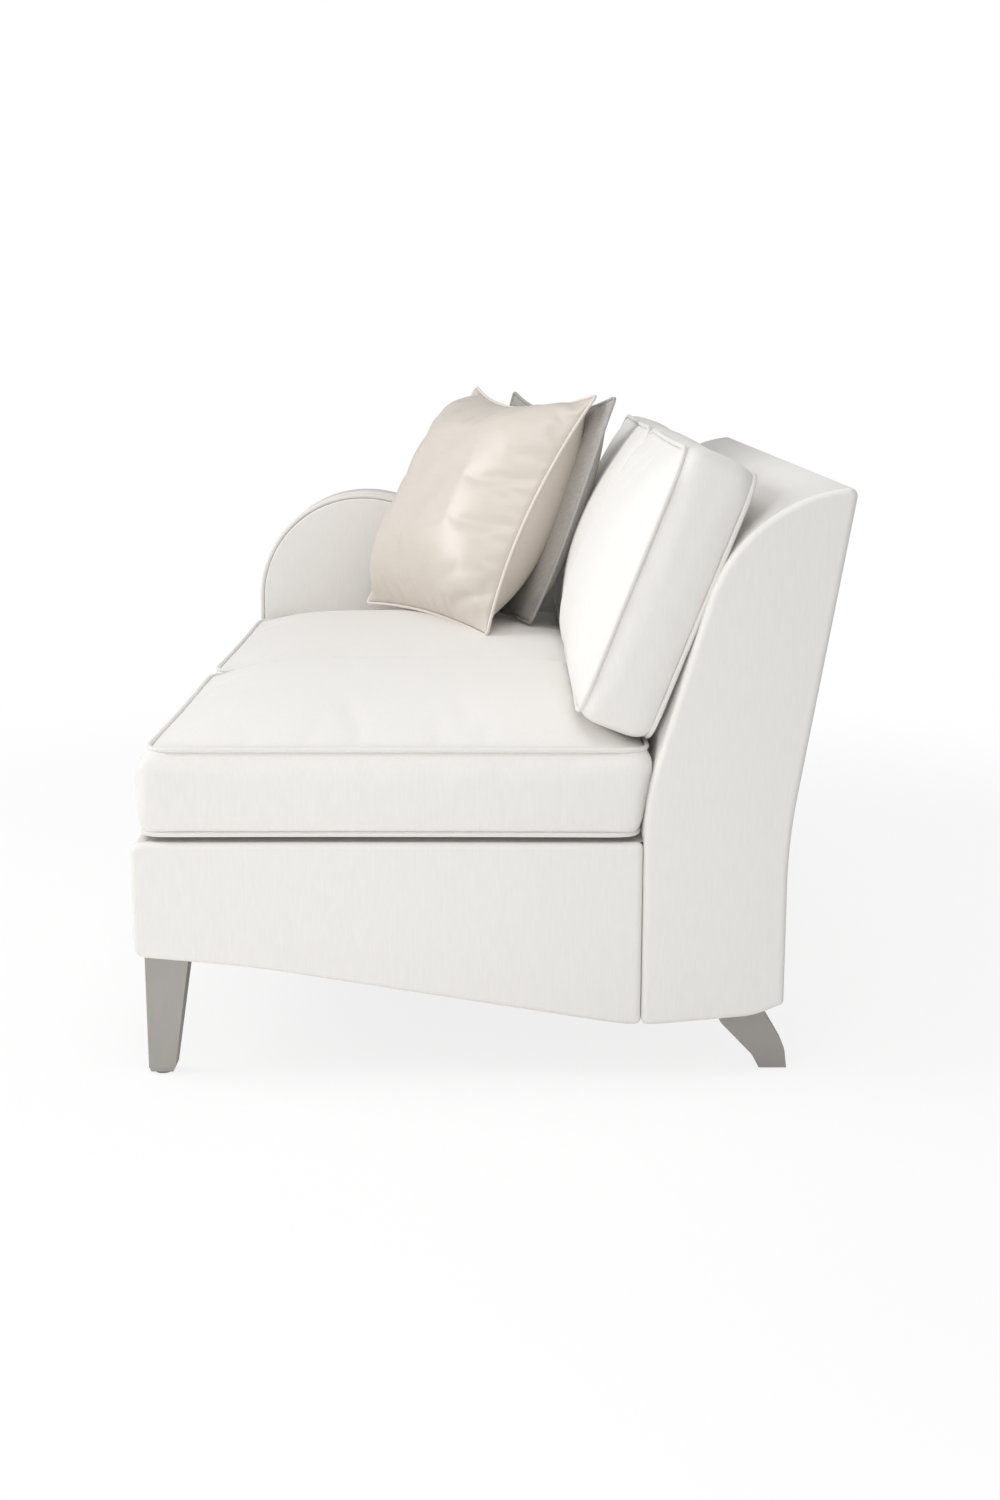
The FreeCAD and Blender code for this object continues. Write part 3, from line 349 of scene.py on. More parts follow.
backShape = {"footY": 444.5 * mm, "lean": math.radians(16.5), "bendZ": 428 * mm, "bendR": 415 * mm,
             "topRise": math.radians(7), "topR": 228 * mm, "cornerR": 12 * mm, "rearBendZ": 369 * mm,
             "rearBendR": 850 * mm, "heelZ": 117 * mm, "heelLowZ": 97.8 * mm, "heelRun": 44.5 * mm,
             "toe": 27 * mm, "toeR": 300 * mm, "heelR": 120 * mm, "pad": 18 * mm, "rearPad": 12 * mm,
             "seamR": 9 * mm, "roll": 9 * mm, "flapZ": insideHigh[2] - 42 * mm}
baseShape = {"frontZ": 189 * mm, "cornerR": 18 * mm, "toe": 28 * mm, "toeR": 300 * mm,
             "shoulder": 172.5 * mm, "drop": 15 * mm, "sweepR": 1500 * mm}
armShape = {"fall": math.radians(12), "crestR": 224.5 * mm, "weltR": 4.5 * mm, "weltRoom": 9.4 * mm,
            "band": 16 * mm, "roll": 4 * mm, "clear": 0.4 * mm, "steps": 24, "weltSteps": 30}


def backOutline():
    s = backShape
    cy = backHigh[1] - s["cornerR"]
    cz = backHigh[2] - s["cornerR"]
    run, climb = cy - s["footY"], cz - s["rearBendZ"]
    rear = math.atan2(run, climb) + math.asin(s["cornerR"] / math.hypot(run, climb))
    topPoint = (cy - s["cornerR"] * math.sin(s["topRise"]), cz + s["cornerR"] * math.cos(s["topRise"]))
    topHeading = (math.cos(s["topRise"]), math.sin(s["topRise"]))
    bend = (backLow[1], s["bendZ"])
    foot = (s["footY"], s["rearBendZ"])
    top = crossing(bend, (math.sin(s["lean"]), math.cos(s["lean"])), topPoint, topHeading)
    corner = crossing(foot, (math.sin(rear), math.cos(rear)), topPoint, topHeading)
    return [(*bend, s["bendR"]), (*top, s["topR"]), (*corner, s["cornerR"]), (*foot, s["rearBendR"])]


def rearLineY(z, inset):
    corner, foot = backOutline()[2:]
    d = heading(foot, corner)
    return foot[0] + (z - foot[1]) * d[0] / d[1] - inset / d[1]


backPath = backOutline()
heelPath = [(backShape["footY"], backShape["heelZ"], backShape["seamR"]),
            (backShape["footY"] - backShape["heelRun"], backShape["heelLowZ"], backShape["heelR"]),
            (backLow[1] + backShape["toe"], backLow[2], backShape["toeR"])]
endPath = [(backLow[1], backLow[2], backShape["seamR"])] + backPath + heelPath
basePath = [(baseLow[1], baseShape["frontZ"], baseShape["cornerR"]),
            (baseLow[1], baseHigh[2], baseShape["cornerR"]),
            (baseHigh[1], baseHigh[2], backShape["seamR"]),
            (baseHigh[1], baseLow[2], backShape["seamR"]),
            (backLow[1] - baseShape["toe"], baseLow[2], baseShape["toeR"]),
            (baseLow[1] + baseShape["shoulder"], baseShape["frontZ"] - baseShape["drop"], baseShape["sweepR"])]

for node, path in (("open_back_panel", endPath), ("open_base_panel", basePath),
                   ("arm_back_panel", endPath), ("arm_base_panel", basePath)):
    low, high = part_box(node)
    outward = low[0] > 0
    panel = rolledSlab(node + "_cover", path, low[0], high[0],
                       0 if outward else backShape["roll"], backShape["roll"] if outward else 0)
    dress(panel, "frame", "ivory_linen", [node])

insidePath = [(insideLow[1], insideLow[2], 0)] + backPath[:3]
insideInner = insetCorners(insidePath + [(backShape["footY"], insideLow[2], 0)],
                           [backShape["pad"]] * 3 + [0, 0])
flapZ = backShape["flapZ"]
innerTop = crossing(insideInner[2][:2], heading(backPath[1], backPath[2]),
                    (rearLineY(flapZ, backShape["rearPad"]), flapZ), heading(backPath[3], backPath[2]))
insidePath += [(rearLineY(flapZ, 0), flapZ, 0), (rearLineY(flapZ, backShape["rearPad"]), flapZ, 0),
               (*innerTop, 0), insideInner[2], insideInner[1], insideInner[0]]
insideBack = rolledSlab("inside_back_cover", insidePath, insideLow[0], insideHigh[0], 0, 0)
dress(insideBack, "frame", "ivory_linen", ["inside_back"])

outsideTop = outsideHigh[2]
outsideInner = insetCorners([backPath[2], backPath[3], (backShape["footY"], backShape["heelZ"], 0),
                             (backLow[1], backShape["heelZ"], 0)], [backShape["rearPad"]] * 2 + [0, 0])
outsidePath = [(rearLineY(outsideTop, 0), outsideTop, 0), backPath[3],
               (backShape["footY"], backShape["heelZ"], 0),
               (backShape["footY"] - backShape["rearPad"], backShape["heelZ"], 0), outsideInner[1],
               (rearLineY(outsideTop, backShape["rearPad"]), outsideTop, 0)]
outsideBack = rolledSlab("outside_back_cover", outsidePath, outsideLow[0], outsideHigh[0], 0, 0)
dress(outsideBack, "frame", "ivory_linen", ["outside_back"])

borderPath = [(borderLow[1], borderLow[2], baseShape["cornerR"]),
              (borderLow[1], borderHigh[2], baseShape["cornerR"]),
              (borderHigh[1], borderHigh[2], 0), (borderHigh[1], borderLow[2], 0)]
frontBorder = rolledSlab("front_border_cover", borderPath, borderLow[0], borderHigh[0], 0, 0)
dress(frontBorder, "frame", "ivory_linen", ["front_border"])


def armOutline(footZ):
    s = armShape
    crest = bandHigh[2] - s["crestR"] + s["crestR"] * math.tan((math.pi / 2 + s["fall"]) / 2)
    top = (bandLow[1], crest)
    rearY = backLow[1] - s["clear"]
    rear = crossing(top, (math.cos(s["fall"]), -math.sin(s["fall"])),
                    (rearY, backShape["bendZ"]), (math.sin(backShape["lean"]), math.cos(backShape["lean"])))
    return [(bandLow[1], footZ, 0), (*top, s["crestR"]), (*rear, 0),
            (rearY, backShape["bendZ"], backShape["bendR"]), (rearY, footZ, 0)]


def armInset(footZ, inset):
    return insetCorners(armOutline(footZ), [inset, inset, 0, 0, 0])


bandOuter = armOutline(bandLow[2])
bandInner = armInset(bandLow[2], armShape["band"])
armBand = rolledSlab("arm_band_cover", bandOuter[:3] + [bandInner[2], bandInner[1], bandInner[0]],
                     bandLow[0], bandHigh[0], 0, 0, armShape["steps"])
dress(armBand, "frame", "ivory_linen", ["arm_band"])
for node in ("inside_arm_panel", "outside_arm_panel"):
    low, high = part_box(node)
    inner = node == "inside_arm_panel"
    panel = rolledSlab(node + "_cover", armInset(low[2], armShape["weltRoom"]), low[0], high[0],
                       0 if inner else armShape["roll"], armShape["roll"] if inner else 0, armShape["steps"])
    dress(panel, "frame", "ivory_linen", [node])
weltLow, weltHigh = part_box("arm_welts")
weltPath = sampled(armInset(weltLow[2], armShape["weltRoom"] / 2)[:3], armShape["weltSteps"], True)
armWelts = tube("arm_welts_cord", [[Vector((x, y, z)) for y, z in weltPath]
                                   for x in (weltHigh[0] - armShape["weltR"], weltLow[0] + armShape["weltR"])],
                armShape["weltR"], False)
dress(armWelts, "frame", "ivory_linen", ["arm_welts"], "ivory_cord")
print("stage: upholstery")


clothSim = {"quality": 6, "mass": 0.25}
pinchPower = 3  # how near the edge a side is drawn in
earPower = 4  # how near the tip a corner is drawn out


# Stuffed pieces: a cloth held along its seams and blown up, its movement capped
def puff(piece, held, firm, spec):
    scene = bpy.context.scene
    group = piece.vertex_groups.new(name="held")
    group.add(sorted(held), 1.0, "REPLACE")
    cloth = piece.modifiers.new("puff", "CLOTH")
    cloth.point_cache.frame_start = 1
    cloth.point_cache.frame_end = spec["frames"]
    settings = cloth.settings
    settings.quality = clothSim["quality"]
    settings.mass = clothSim["mass"]
    settings.tension_stiffness = settings.compression_stiffness = spec["stiff"]
    settings.bending_stiffness = spec["bend"]
    settings.use_pressure = True
    settings.uniform_pressure_force = spec["pressure"]
    settings.vertex_group_mass = "held"
    settings.effector_weights.gravity = 0
    settings.shrink_min = -spec["slack"]
    for step in range(1, spec["frames"] + 1):
        scene.frame_set(step)
    blown = piece.evaluated_get(bpy.context.evaluated_depsgraph_get())
    shaped = [v.co.copy() for v in blown.data.vertices]
    piece.modifiers.remove(cloth)
    scene.frame_set(1)
    for vertex, place in zip(piece.data.vertices, shaped):
        move = place - vertex.co
        cap = spec["firmCap"] if vertex.index in firm else spec["cap"]
        if move.length > cap:
            move *= cap / move.length
        vertex.co += move
    smoother = piece.modifiers.new("smoother", "SUBSURF")
    smoother.levels = smoother.render_levels = 1
    blown = piece.evaluated_get(bpy.context.evaluated_depsgraph_get())
    smooth = bpy.data.meshes.new_from_object(blown)
    piece.modifiers.clear()
    piece.vertex_groups.clear()
    piece.data = smooth


def keepBetween(piece, low, high):
    for vertex in piece.data.vertices:
        vertex.co.x = min(max(vertex.co.x, low), high)


def gridFaces(base, nx, ny, flip):
    faces = []
    for j in range(ny):
        for i in range(nx):
            a = base + j * (nx + 1) + i
            quad = (a, a + 1, a + nx + 2, a + nx + 1)
            faces.append(quad[::-1] if flip else quad)
    return faces


def rimOrder(nx, ny):
    rim = [(i, 0) for i in range(nx)] + [(nx, j) for j in range(ny)]
    return rim + [(i, ny) for i in range(nx, 0, -1)] + [(0, j) for j in range(ny, 0, -1)]


# A boxed cushion in its own frame, crown up: two crowned faces and a boxing between their welts
def boxedCushion(name, bounds, spec, place):
    nx, ny, rows = spec["cells"]
    rim = rimOrder(nx, ny)

    def spot(i, j, z, inset):
        x0, x1, y0, y1 = bounds(z)
        a, b = (x1 - x0) / 2 - inset, (y1 - y0) / 2 - inset
        r = spec["cornerR"] + inset / 2
        u, v = 2 * i / nx - 1, 2 * j / ny - 1
        x, y = a * u, b * v
        qx, qy = abs(x) - (a - r), abs(y) - (b - r)
        if qx > 0 and qy > 0:
            pull = max(qx, qy) / math.hypot(qx, qy)
            x = math.copysign(a - r + qx * pull, x)
            y = math.copysign(b - r + qy * pull, y)
        x -= math.copysign(spec["pinch"] * abs(u) ** pinchPower * (1 - v * v), x)
        y -= math.copysign(spec["pinch"] * abs(v) ** pinchPower * (1 - u * u), y)
        near = min(a, b)
        sx, sy = min(1, a * (1 - abs(u)) / near), min(1, b * (1 - abs(v)) / near)
        return (x0 + x1) / 2 + x, (y0 + y1) / 2 + y, sx, sy

    def evenGrid(z, inset):
        grid = {(i, j): spot(i, j, z, inset) for j in range(ny + 1) for i in range(nx + 1)}
        for _ in range(spec["evening"]):
            last = dict(grid)
            for j in range(1, ny):
                for i in range(1, nx):
                    around = [last[beside] for beside in ((i - 1, j), (i + 1, j), (i, j - 1), (i, j + 1))]
                    middle = [sum(p[axis] for p in around) / len(around) for axis in (0, 1)]
                    grid[(i, j)] = (*middle, *last[(i, j)][2:])
        return grid

    seamZ = spec["lowCrown"] + spec["boxing"]
    points = []
    grid = evenGrid(seamZ, spec["topDraw"])
    for j in range(ny + 1):
        for i in range(nx + 1):
            x, y, sx, sy = grid[(i, j)]
            rise = (1 - (1 - sx) ** spec["swell"]) * (1 - (1 - sy) ** spec["swell"])
            rise *= 1 - spec["sag"] * j / ny
            lump = noise.noise(Vector((x, y, spec["seed"])) * spec["lumpScale"]) * spec["lump"] * rise
            points.append((x, y, seamZ + spec["crown"] * rise + lump))
    grid = evenGrid(spec["lowCrown"], spec["lowDraw"])
    for j in range(ny + 1):
        for i in range(nx + 1):
            x, y, sx, sy = grid[(i, j)]
            rise = (1 - (1 - sx) ** spec["lowSwell"]) * (1 - (1 - sy) ** spec["lowSwell"])
            points.append((x, y, spec["lowCrown"] * (1 - rise)))
    side = (nx + 1) * (ny + 1)
    faces = gridFaces(0, nx, ny, False) + gridFaces(side, nx, ny, True)
    loops = [[side + j * (nx + 1) + i for i, j in rim]]
    for k in range(1, rows):
        t = k / rows
        inset = spec["lowDraw"] * max(0, 1 - t / spec["turn"]) ** 2
        inset += spec["topDraw"] * max(0, 1 - (1 - t) / spec["turn"]) ** 2
        z = spec["lowCrown"] + spec["boxing"] * t
        loops.append(list(range(len(points), len(points) + len(rim))))
        points += [(*spot(i, j, z, inset)[:2], z) for i, j in rim]
    loops.append([j * (nx + 1) + i for i, j in rim])
    for low, high in zip(loops, loops[1:]):
        for k in range(len(rim)):
            m = (k + 1) % len(rim)
            faces.append((low[k], low[m], high[m], high[k]))
    piece = makePiece(name, [place @ Vector(p) for p in points], faces)
    seams = [[place @ Vector(points[k]) for k in loop] for loop in (loops[0], loops[-1])]
    puff(piece, set(range(side, 2 * side)) | set(loops[-1]), range(2 * side, len(points)), spec)
    return piece, seams


# Welts stand just outside the seams
def weltPaths(seams, out, passes):
    paths = []
    for seam in seams:
        middle = sum(seam, Vector()) / len(seam)
        count = len(seam)
        path = []
        for k, p in enumerate(seam):
            along = (seam[(k + 1) % count] - seam[k - 1]).normalized()
            away = p - middle
            away -= along * away.dot(along)
            path.append(p + away.normalized() * out)
        for _ in range(passes):
            path = [(path[k - 1] + 2 * p + path[(k + 1) % count]) / 4 for k, p in enumerate(path)]
        paths.append(path)
    return paths


seatSpec = {"cells": (46, 50, 9), "cornerR": 20 * mm, "lowCrown": 11 * mm, "boxing": 125 * mm,
            "crown": 54 * mm, "pressedCrown": 39 * mm, "lowDraw": 6 * mm, "topDraw": 16 * mm, "turn": 0.22,
            "evening": 12, "swell": 4.4, "lowSwell": 18, "pinch": 3 * mm, "sag": 0.0,
            "lump": 2.0 * mm, "lumpScale": 9, "seed": 1.0, "frames": 20, "stiff": 80, "bend": 0.8,
            "pressure": 4, "slack": 0.004, "cap": 22 * mm, "firmCap": 4 * mm, "fill": 0.9,
            "weltR": 3.8 * mm, "weltOut": 1.5 * mm, "passes": 2, "clear": 1.2 * mm}
backSpec = dict(seatSpec, cells=(48, 30, 8), cornerR=42 * mm, lowCrown=3 * mm, boxing=109 * mm,
                crown=54 * mm, pressedCrown=33 * mm, lowDraw=8 * mm, topDraw=8 * mm, lowSwell=5, sag=0.45,
                seed=4.0, fill=0.85, lean=math.radians(21.3), half=214 * mm, settle=3 * mm,
                wrap=6.3 * mm)  # wrap: the cover around the core
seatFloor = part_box("seat_cushion_cover_left")[0][2]


def backLineY(z):
    s = backShape
    tangent = s["bendR"] * math.tan(s["lean"] / 2)
    lift = z - s["bendZ"] + tangent
    if lift <= 0:
        return backLow[1]
    if z < s["bendZ"] + tangent * math.cos(s["lean"]):
        return backLow[1] + s["bendR"] - math.sqrt(s["bendR"] ** 2 - lift ** 2)
    return backLow[1] + (z - s["bendZ"]) * math.tan(s["lean"])


# The back cushions lean: their own frame has its middle from the welts' box
backTurn = Matrix.Rotation(math.pi / 2 - backSpec["lean"], 4, "X")
out = Vector((0, -math.cos(backSpec["lean"]), math.sin(backSpec["lean"])))
for side in ("left", "right"):
    left = side == "left"
    crown = "pressedCrown" if left else "crown"  # the pillows press on the left pair
    low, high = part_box(f"seat_cushion_cover_{side}")

    def seatBounds(z, low=low, high=high):
        return low[0], high[0], low[1], backLineY(seatFloor + z) - seatSpec["clear"]

    place = Matrix.Translation((0, 0, seatFloor))
    spec = dict(seatSpec, seed=seatSpec["seed"] + left, crown=seatSpec[crown])
    cover, seams = boxedCushion(f"seat_cushion_{side}", seatBounds, spec, place)
    keepBetween(cover, low[0], high[0])
    body = f"seat_cushion_{side}"
    covered = [f"seat_cushion_{n}_{side}" for n in ("cover", "core")]
    dress(cover, body, "ivory_linen", covered)
    paths = weltPaths(seams, spec["weltOut"], spec["passes"])
    cord = tube(f"seat_welts_{side}", paths, spec["weltR"], True)
    dress(cord, body, "ivory_linen", [f"seat_cushion_welts_{side}"], "ivory_cord")

    low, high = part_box(f"back_cushion_core_{side}")
    spec = dict(backSpec, seed=backSpec["seed"] + left, crown=backSpec[crown])
    weltLowCorner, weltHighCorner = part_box(f"back_cushion_welts_{side}")
    topWelt = spec["lowCrown"] + spec["boxing"]
    halfway = (topWelt + spec["lowCrown"]) / 2  # the middle of the welts' box lies between the welts
    midZ = (weltLowCorner[2] + weltHighCorner[2]) / 2 - out.z * halfway
    midY = (weltLowCorner[1] + weltHighCorner[1]) / 2 - out.y * halfway + spec["settle"]
    place = Matrix.Translation((0, midY, midZ)) @ backTurn

    def backBounds(z, low=low, high=high):
        return low[0] - backSpec["wrap"], high[0] + backSpec["wrap"], -backSpec["half"], backSpec["half"]

    cover, seams = boxedCushion(f"back_cushion_{side}", backBounds, spec, place)
    keepBetween(cover, *(corner[0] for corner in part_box(f"back_cushion_cover_{side}")))
    body = f"back_cushion_{side}"
    covered = [f"back_cushion_{n}_{side}" for n in ("cover", "core")]
    dress(cover, body, "ivory_linen", covered)
    paths = weltPaths(seams, spec["weltOut"], spec["passes"])
    cord = tube(f"back_welts_{side}", paths, spec["weltR"], True)
    dress(cord, body, "ivory_linen", [f"back_cushion_welts_{side}"], "ivory_cord")
print("stage: cushions")


# Throw pillows: two crowned squares sewn along one rim
def creaseDepth(u, v, spec):
    depth = 0
    for (u0, v0), (u1, v1) in spec["creases"]:
        run = Vector((u1 - u0, v1 - v0))
        share = min(1, max(0, Vector((u - u0, v - v0)).dot(run) / run.length_squared))
        gap = (Vector((u - u0, v - v0)) - run * share).length
        depth += spec["creaseDepth"] * math.exp(-(gap / spec["creaseWidth"]) ** 2)
    return depth


def pillow(name, spec, place):
    count = spec["cells"]
    rim = rimOrder(count, count)
    points = []
    index = {}
    faces = []
    free = set()
    for sign in (1, -1):
        for j in range(count + 1):
            for i in range(count + 1):
                u, v = 2 * i / count - 1, 2 * j / count - 1
                edge = i in (0, count) or j in (0, count)
                if edge and sign < 0:
                    index[(sign, i, j)] = index[(1, i, j)]
                    continue
                across = spec["rightPinch"] if u > 0 else spec["leftPinch"]
                upright = spec["topPinch"] if v > 0 else spec["footPinch"]
                x = spec["half"] * u * (1 - across * (1 - v * v) * abs(u) ** pinchPower)
                y = spec["half"] * v * (1 - upright * (1 - u * u) * abs(v) ** pinchPower)
                rise = (1 - abs(u) ** spec["swell"]) * (1 - abs(v) ** spec["swell"])
                lump = noise.noise(Vector((x, y, spec["seed"])) * spec["lumpScale"]) * spec["lump"] * rise
                cheek = max(0, u) ** 2 * (1 - v * v)
                if sign > 0:
                    z = spec["front"] * rise + lump - creaseDepth(u, v, spec) * math.sqrt(rise)
                else:
                    z = -(spec["rear"] + spec["cheek"] * cheek) * rise
                spot = Vector((x, y, z + spec["seamForward"] * cheek * (1 - rise)))
                for (su, sv), shift in spec["ears"].items():
                    spot += Vector(shift) * ((1 + su * u) * (1 + sv * v) / 4) ** earPower
                index[(sign, i, j)] = len(points)
                if not edge and sign > 0:
                    free.add(len(points))
                points.append(spot)
        for j in range(count):
            for i in range(count):
                quad = [index[(sign, i + a, j + b)] for a, b in ((0, 0), (1, 0), (1, 1), (0, 1))]
                faces.append(quad if sign > 0 else quad[::-1])
    piece = makePiece(name, [place @ p for p in points], faces)
    seam = [place @ points[index[(1, i, j)]] for i, j in rim]
    puff(piece, set(range(len(points))) - free, (), spec)
    return piece, seam


frontSpec = {"cells": 56, "turn": math.radians(30), "lean": math.radians(30), "half": 254 * mm,
             "front": 94 * mm, "rear": 50 * mm, "swell": 5.0, "topPinch": 0.15, "footPinch": 0.055,
             "leftPinch": 0.10, "rightPinch": 0.035, "cheek": 112 * mm, "seamForward": 18 * mm,
             "creaseDepth": 3.5 * mm, "creaseWidth": 0.055,
             "creases": (((0.55, -0.95), (0.96, -0.72)), ((0.42, -0.82), (0.74, -0.62)),
                         ((0.60, -0.30), (0.97, -0.18)), ((0.62, 0.05), (0.97, 0.22))),
             "ears": {(-1, 1): (8 * mm, 14 * mm, -10 * mm), (-1, -1): (14 * mm, 0, 0),
                      (1, -1): (24 * mm, -4 * mm, 0)},
             "lump": 3.5 * mm, "lumpScale": 14, "seed": 7.0, "frames": 20, "stiff": 30,
             "bend": 0.15, "pressure": 4, "slack": 0.03, "cap": 20 * mm, "fill": 0.7,
             "cordR": 3.2 * mm, "cordOut": 0.4 * mm, "passes": 1}
rearSpec = dict(frontSpec, turn=math.radians(24), lean=math.radians(20), half=236 * mm, front=9 * mm,
                rear=22 * mm, topPinch=0.19, rightPinch=0.03, cheek=60 * mm, seamForward=0.0, creases=(),
                ears={(-1, 1): (4 * mm, -6 * mm, 0), (1, 1): (0, -6 * mm, 0),
                      (1, -1): (-45 * mm, 8 * mm, 0)},
                lump=1 * mm, seed=9.0, cap=4 * mm)
for body, spec, fabric, cordSlot in (("front_pillow", frontSpec, "champagne_satin", "champagne_piping"),
                                     ("rear_pillow", rearSpec, "grey_weave", "grey_piping")):
    low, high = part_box(body + "_piping")
    centre = [(a + b) / 2 for a, b in zip(low, high)]
    turning = Matrix.Rotation(spec["turn"], 4, "Z") @ Matrix.Rotation(math.pi / 2 - spec["lean"], 4, "X")
    place = Matrix.Translation(centre) @ turning
    cover, seam = pillow(body + "_square", spec, place)
    dress(cover, body, fabric, [body + "_cover", body + "_fill"])
    cord = tube(body + "_cord", weltPaths([seam], spec["cordOut"], spec["passes"]), spec["cordR"], True)
    dress(cord, body, cordSlot, [body + "_piping"])
print("stage: pillows")


# Legs: the CAD legs with eased edges
legEase = {"width": 2.5 * mm, "segments": 3, "over": math.radians(40), "sharp": math.radians(35)}
for node in ("front_leg_open_end", "front_leg_arm_end", "rear_leg_open_end", "rear_leg_arm_end"):
    leg = bpy.data.objects.new(node + "_painted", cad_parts[node].data.copy())
    leg.matrix_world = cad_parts[node].matrix_world
    bpy.context.scene.collection.objects.link(leg)
    ease = leg.modifiers.new("ease", "BEVEL")
    ease.width = legEase["width"]
    ease.segments = legEase["segments"]
    ease.limit_method = "ANGLE"
    ease.angle_limit = legEase["over"]
    eased = bpy.data.meshes.new_from_object(leg.evaluated_get(bpy.context.evaluated_depsgraph_get()))
    leg.modifiers.clear()
    leg.data = eased
    eased.polygons.foreach_set("use_smooth", [True] * len(eased.polygons))
    eased.set_sharp_from_angle(angle=legEase["sharp"])
    dress(leg, "frame", "greige_paint", [node])


deckSpec = {"cells": (60, 34), "cut": 0, "below": 0.6 * mm}
dustSpec = {"cells": (74, 44), "cut": 80 * mm}  # open at the leg blocks
ripple = {"height": 0.3 * mm, "scale": 7}


# Stretched cloths under the cushions and under the frame
def clothSheet(name, low, high, z, spec):
    nx, ny = spec["cells"]
    width, run = high[0] - low[0], high[1] - low[1]
    points, faces, index = [], [], {}
    for j in range(ny + 1):
        for i in range(nx + 1):
            x = low[0] + width * i / nx
            y = low[1] + run * j / ny
            index[(i, j)] = len(points)
            wave = ripple["height"] * noise.noise(Vector((x, y, z)) * ripple["scale"])
            points.append((x, y, z + wave))
    for j in range(ny):
        for i in range(nx):
            fromSide = width * min(i + 0.5, nx - i - 0.5) / nx
            fromEnd = run * min(j + 0.5, ny - j - 0.5) / ny
            if fromSide < spec["cut"] and fromEnd < spec["cut"]:
                continue
            faces.append([index[(i + a, j + b)] for a, b in ((0, 0), (1, 0), (1, 1), (0, 1))])
    piece = makePiece(name, points, faces)
    return piece, (width, run), sum(face.area for face in piece.data.polygons)


low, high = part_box("deck_cloth")
deck, flat, _ = clothSheet("deck_cloth_sheet", low, high, high[2] - deckSpec["below"], deckSpec)
dress(deck, "frame", "deck_twill", ["deck_cloth", "deck_pad"])
low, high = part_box("dust_cover")
dust, flat, area = clothSheet("dust_cover_sheet", low, high, (low[2] + high[2]) / 2, dustSpec)
dress(dust, "frame", "black_cambric", ["dust_cover"])

carried = {"hardwood": ("front_rail", "rear_rail", "open_end_rail", "arm_end_rail", "seat_stretchers",
                        "spring_rails", "leg_blocks", "back_ribs", "back_top_rails", "back_tack_rails",
                        "arm_outer_board", "arm_inner_board", "arm_blocks"),
           "webbing": ("back_webbing",),
           "zinc_steel": ("seat_springs", "spring_clips", "leg_plates", "leg_bolts", "connector_brackets",
                          "bracket_screws"),
           "nylon": ("leg_glides",)}
for slot, nodes in carried.items():
    for node in nodes:
        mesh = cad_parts[node].data
        mesh.materials.clear()
        mesh.materials.append(materials[slot])
print("stage: legs, cloths and frame")


# Studio: white floor and world, a broad light from the front, one above and a low one at the open end
studio = {"floorHalf": 9.0, "floorDark": (0.93, 0.93, 0.93), "floorLight": (0.95, 0.95, 0.95),
          "speck": (40, 40, 40), "speckDetail": 2.0, "floorRough": 0.9, "floorShow": 0.16,
          "fadeFrom": 1.3, "fadeTo": 2.6, "world": 0.50}
lights = {"key_light": {"place": (0.3, -3.5, 2.7), "target": (0.2, 0, 0.5), "size": 2.4, "power": 72},
          "fill_light": {"place": (2.5, -0.5, 0.34), "target": (0.6, 0, 0.5), "size": 0.6, "power": 9},
          "top_light": {"place": (1.2, -0.2, 2.7), "target": (0.2, 0, 0.4), "size": 1.6, "power": 16.5}}
half = studio["floorHalf"]
floor = makePiece("studio_floor", [(-half, -half, 0), (half, -half, 0), (half, half, 0), (-half, half, 0)],
                  [(0, 1, 2, 3)])
floorMaterial, wire = newMaterial("studio_floor")
place = wire.node("ShaderNodeTexCoord", {}, {}, "Object")
speck = stretchedNoise(wire, place, studio["speck"], studio["speckDetail"])
matt = wire.node("ShaderNodeBsdfPrincipled", {},
                 {"Base Color": mixColours(wire, speck, studio["floorDark"], studio["floorLight"]),
                  "Roughness": studio["floorRough"], "Specular IOR Level": 0.0})
white = wire.node("ShaderNodeEmission", {}, {"Color": (1, 1, 1, 1), "Strength": 1.0})
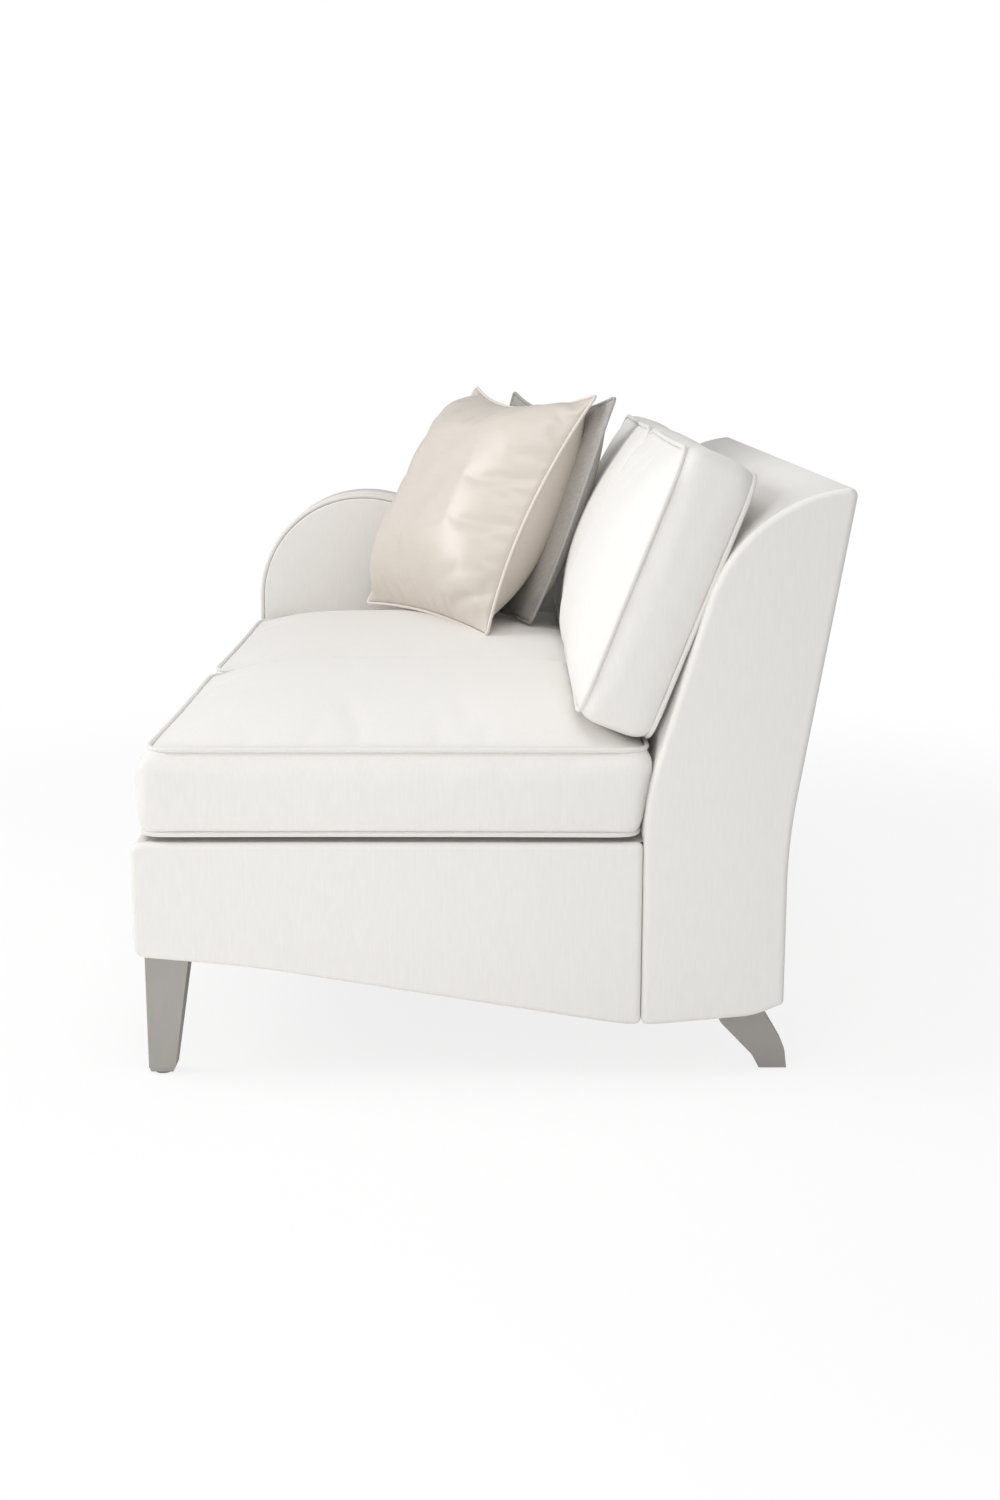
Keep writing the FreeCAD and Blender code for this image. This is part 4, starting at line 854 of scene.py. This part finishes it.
seen = wire.node("ShaderNodeLightPath", {}, {}, "Is Camera Ray")
away = wire.node("ShaderNodeVectorMath", {"operation": "LENGTH"}, {0: place}, "Value")
fade = wire.node("ShaderNodeMapRange", {"interpolation_type": "SMOOTHSTEP"},
                 {"Value": away, "From Min": studio["fadeFrom"], "From Max": studio["fadeTo"],
                  "To Min": 1 - studio["floorShow"], "To Max": 1.0})
lit = wire.node("ShaderNodeMixShader", {}, {0: seen * fade, 1: matt, 2: white})
wire.node("ShaderNodeOutputMaterial", {}, {"Surface": lit})
floor.data.materials.append(floorMaterial)

world = bpy.data.worlds.new("studio")
bpy.context.scene.world = world
world.use_nodes = True
world.node_tree.nodes.clear()
wire = Wire(world.node_tree)
seen = wire.node("ShaderNodeLightPath", {}, {}, "Is Camera Ray")
level = studio["world"]
shade = mixColours(wire, seen, (level, level, level), (1, 1, 1))
sky = wire.node("ShaderNodeBackground", {}, {"Color": shade, "Strength": 1.0})
wire.node("ShaderNodeOutputWorld", {}, {"Surface": sky})

for name, spec in lights.items():
    lamp = bpy.data.lights.new(name, "AREA")
    lamp.shape = "DISK"
    lamp.size = spec["size"]
    lamp.energy = spec["power"]
    holder = bpy.data.objects.new(name, lamp)
    holder.location = spec["place"]
    aim = Vector(spec["target"]) - Vector(spec["place"])
    holder.rotation_euler = aim.to_track_quat("-Z", "Y").to_euler()
    bpy.context.scene.collection.objects.link(holder)

# Camera at the open end, looking along the sofa
shot = {"away": 2.702, "y": 26.5 * mm, "z": 1.081, "pitch": math.radians(12.0), "yaw": math.radians(0.15),
        "lens": 45.6, "sensor": 36}
lens = bpy.data.cameras.new("camera")
lens.lens = shot["lens"]
lens.sensor_width = shot["sensor"]
camera = bpy.data.objects.new("camera", lens)
camera.location = (startBounds[1][0] + shot["away"], shot["y"], shot["z"])
camera.rotation_euler = (math.pi / 2 - shot["pitch"], 0, math.pi / 2 + shot["yaw"])
bpy.context.scene.collection.objects.link(camera)
bpy.context.scene.camera = camera
bpy.context.scene.view_settings.view_transform = "Standard"

print("stage: studio")
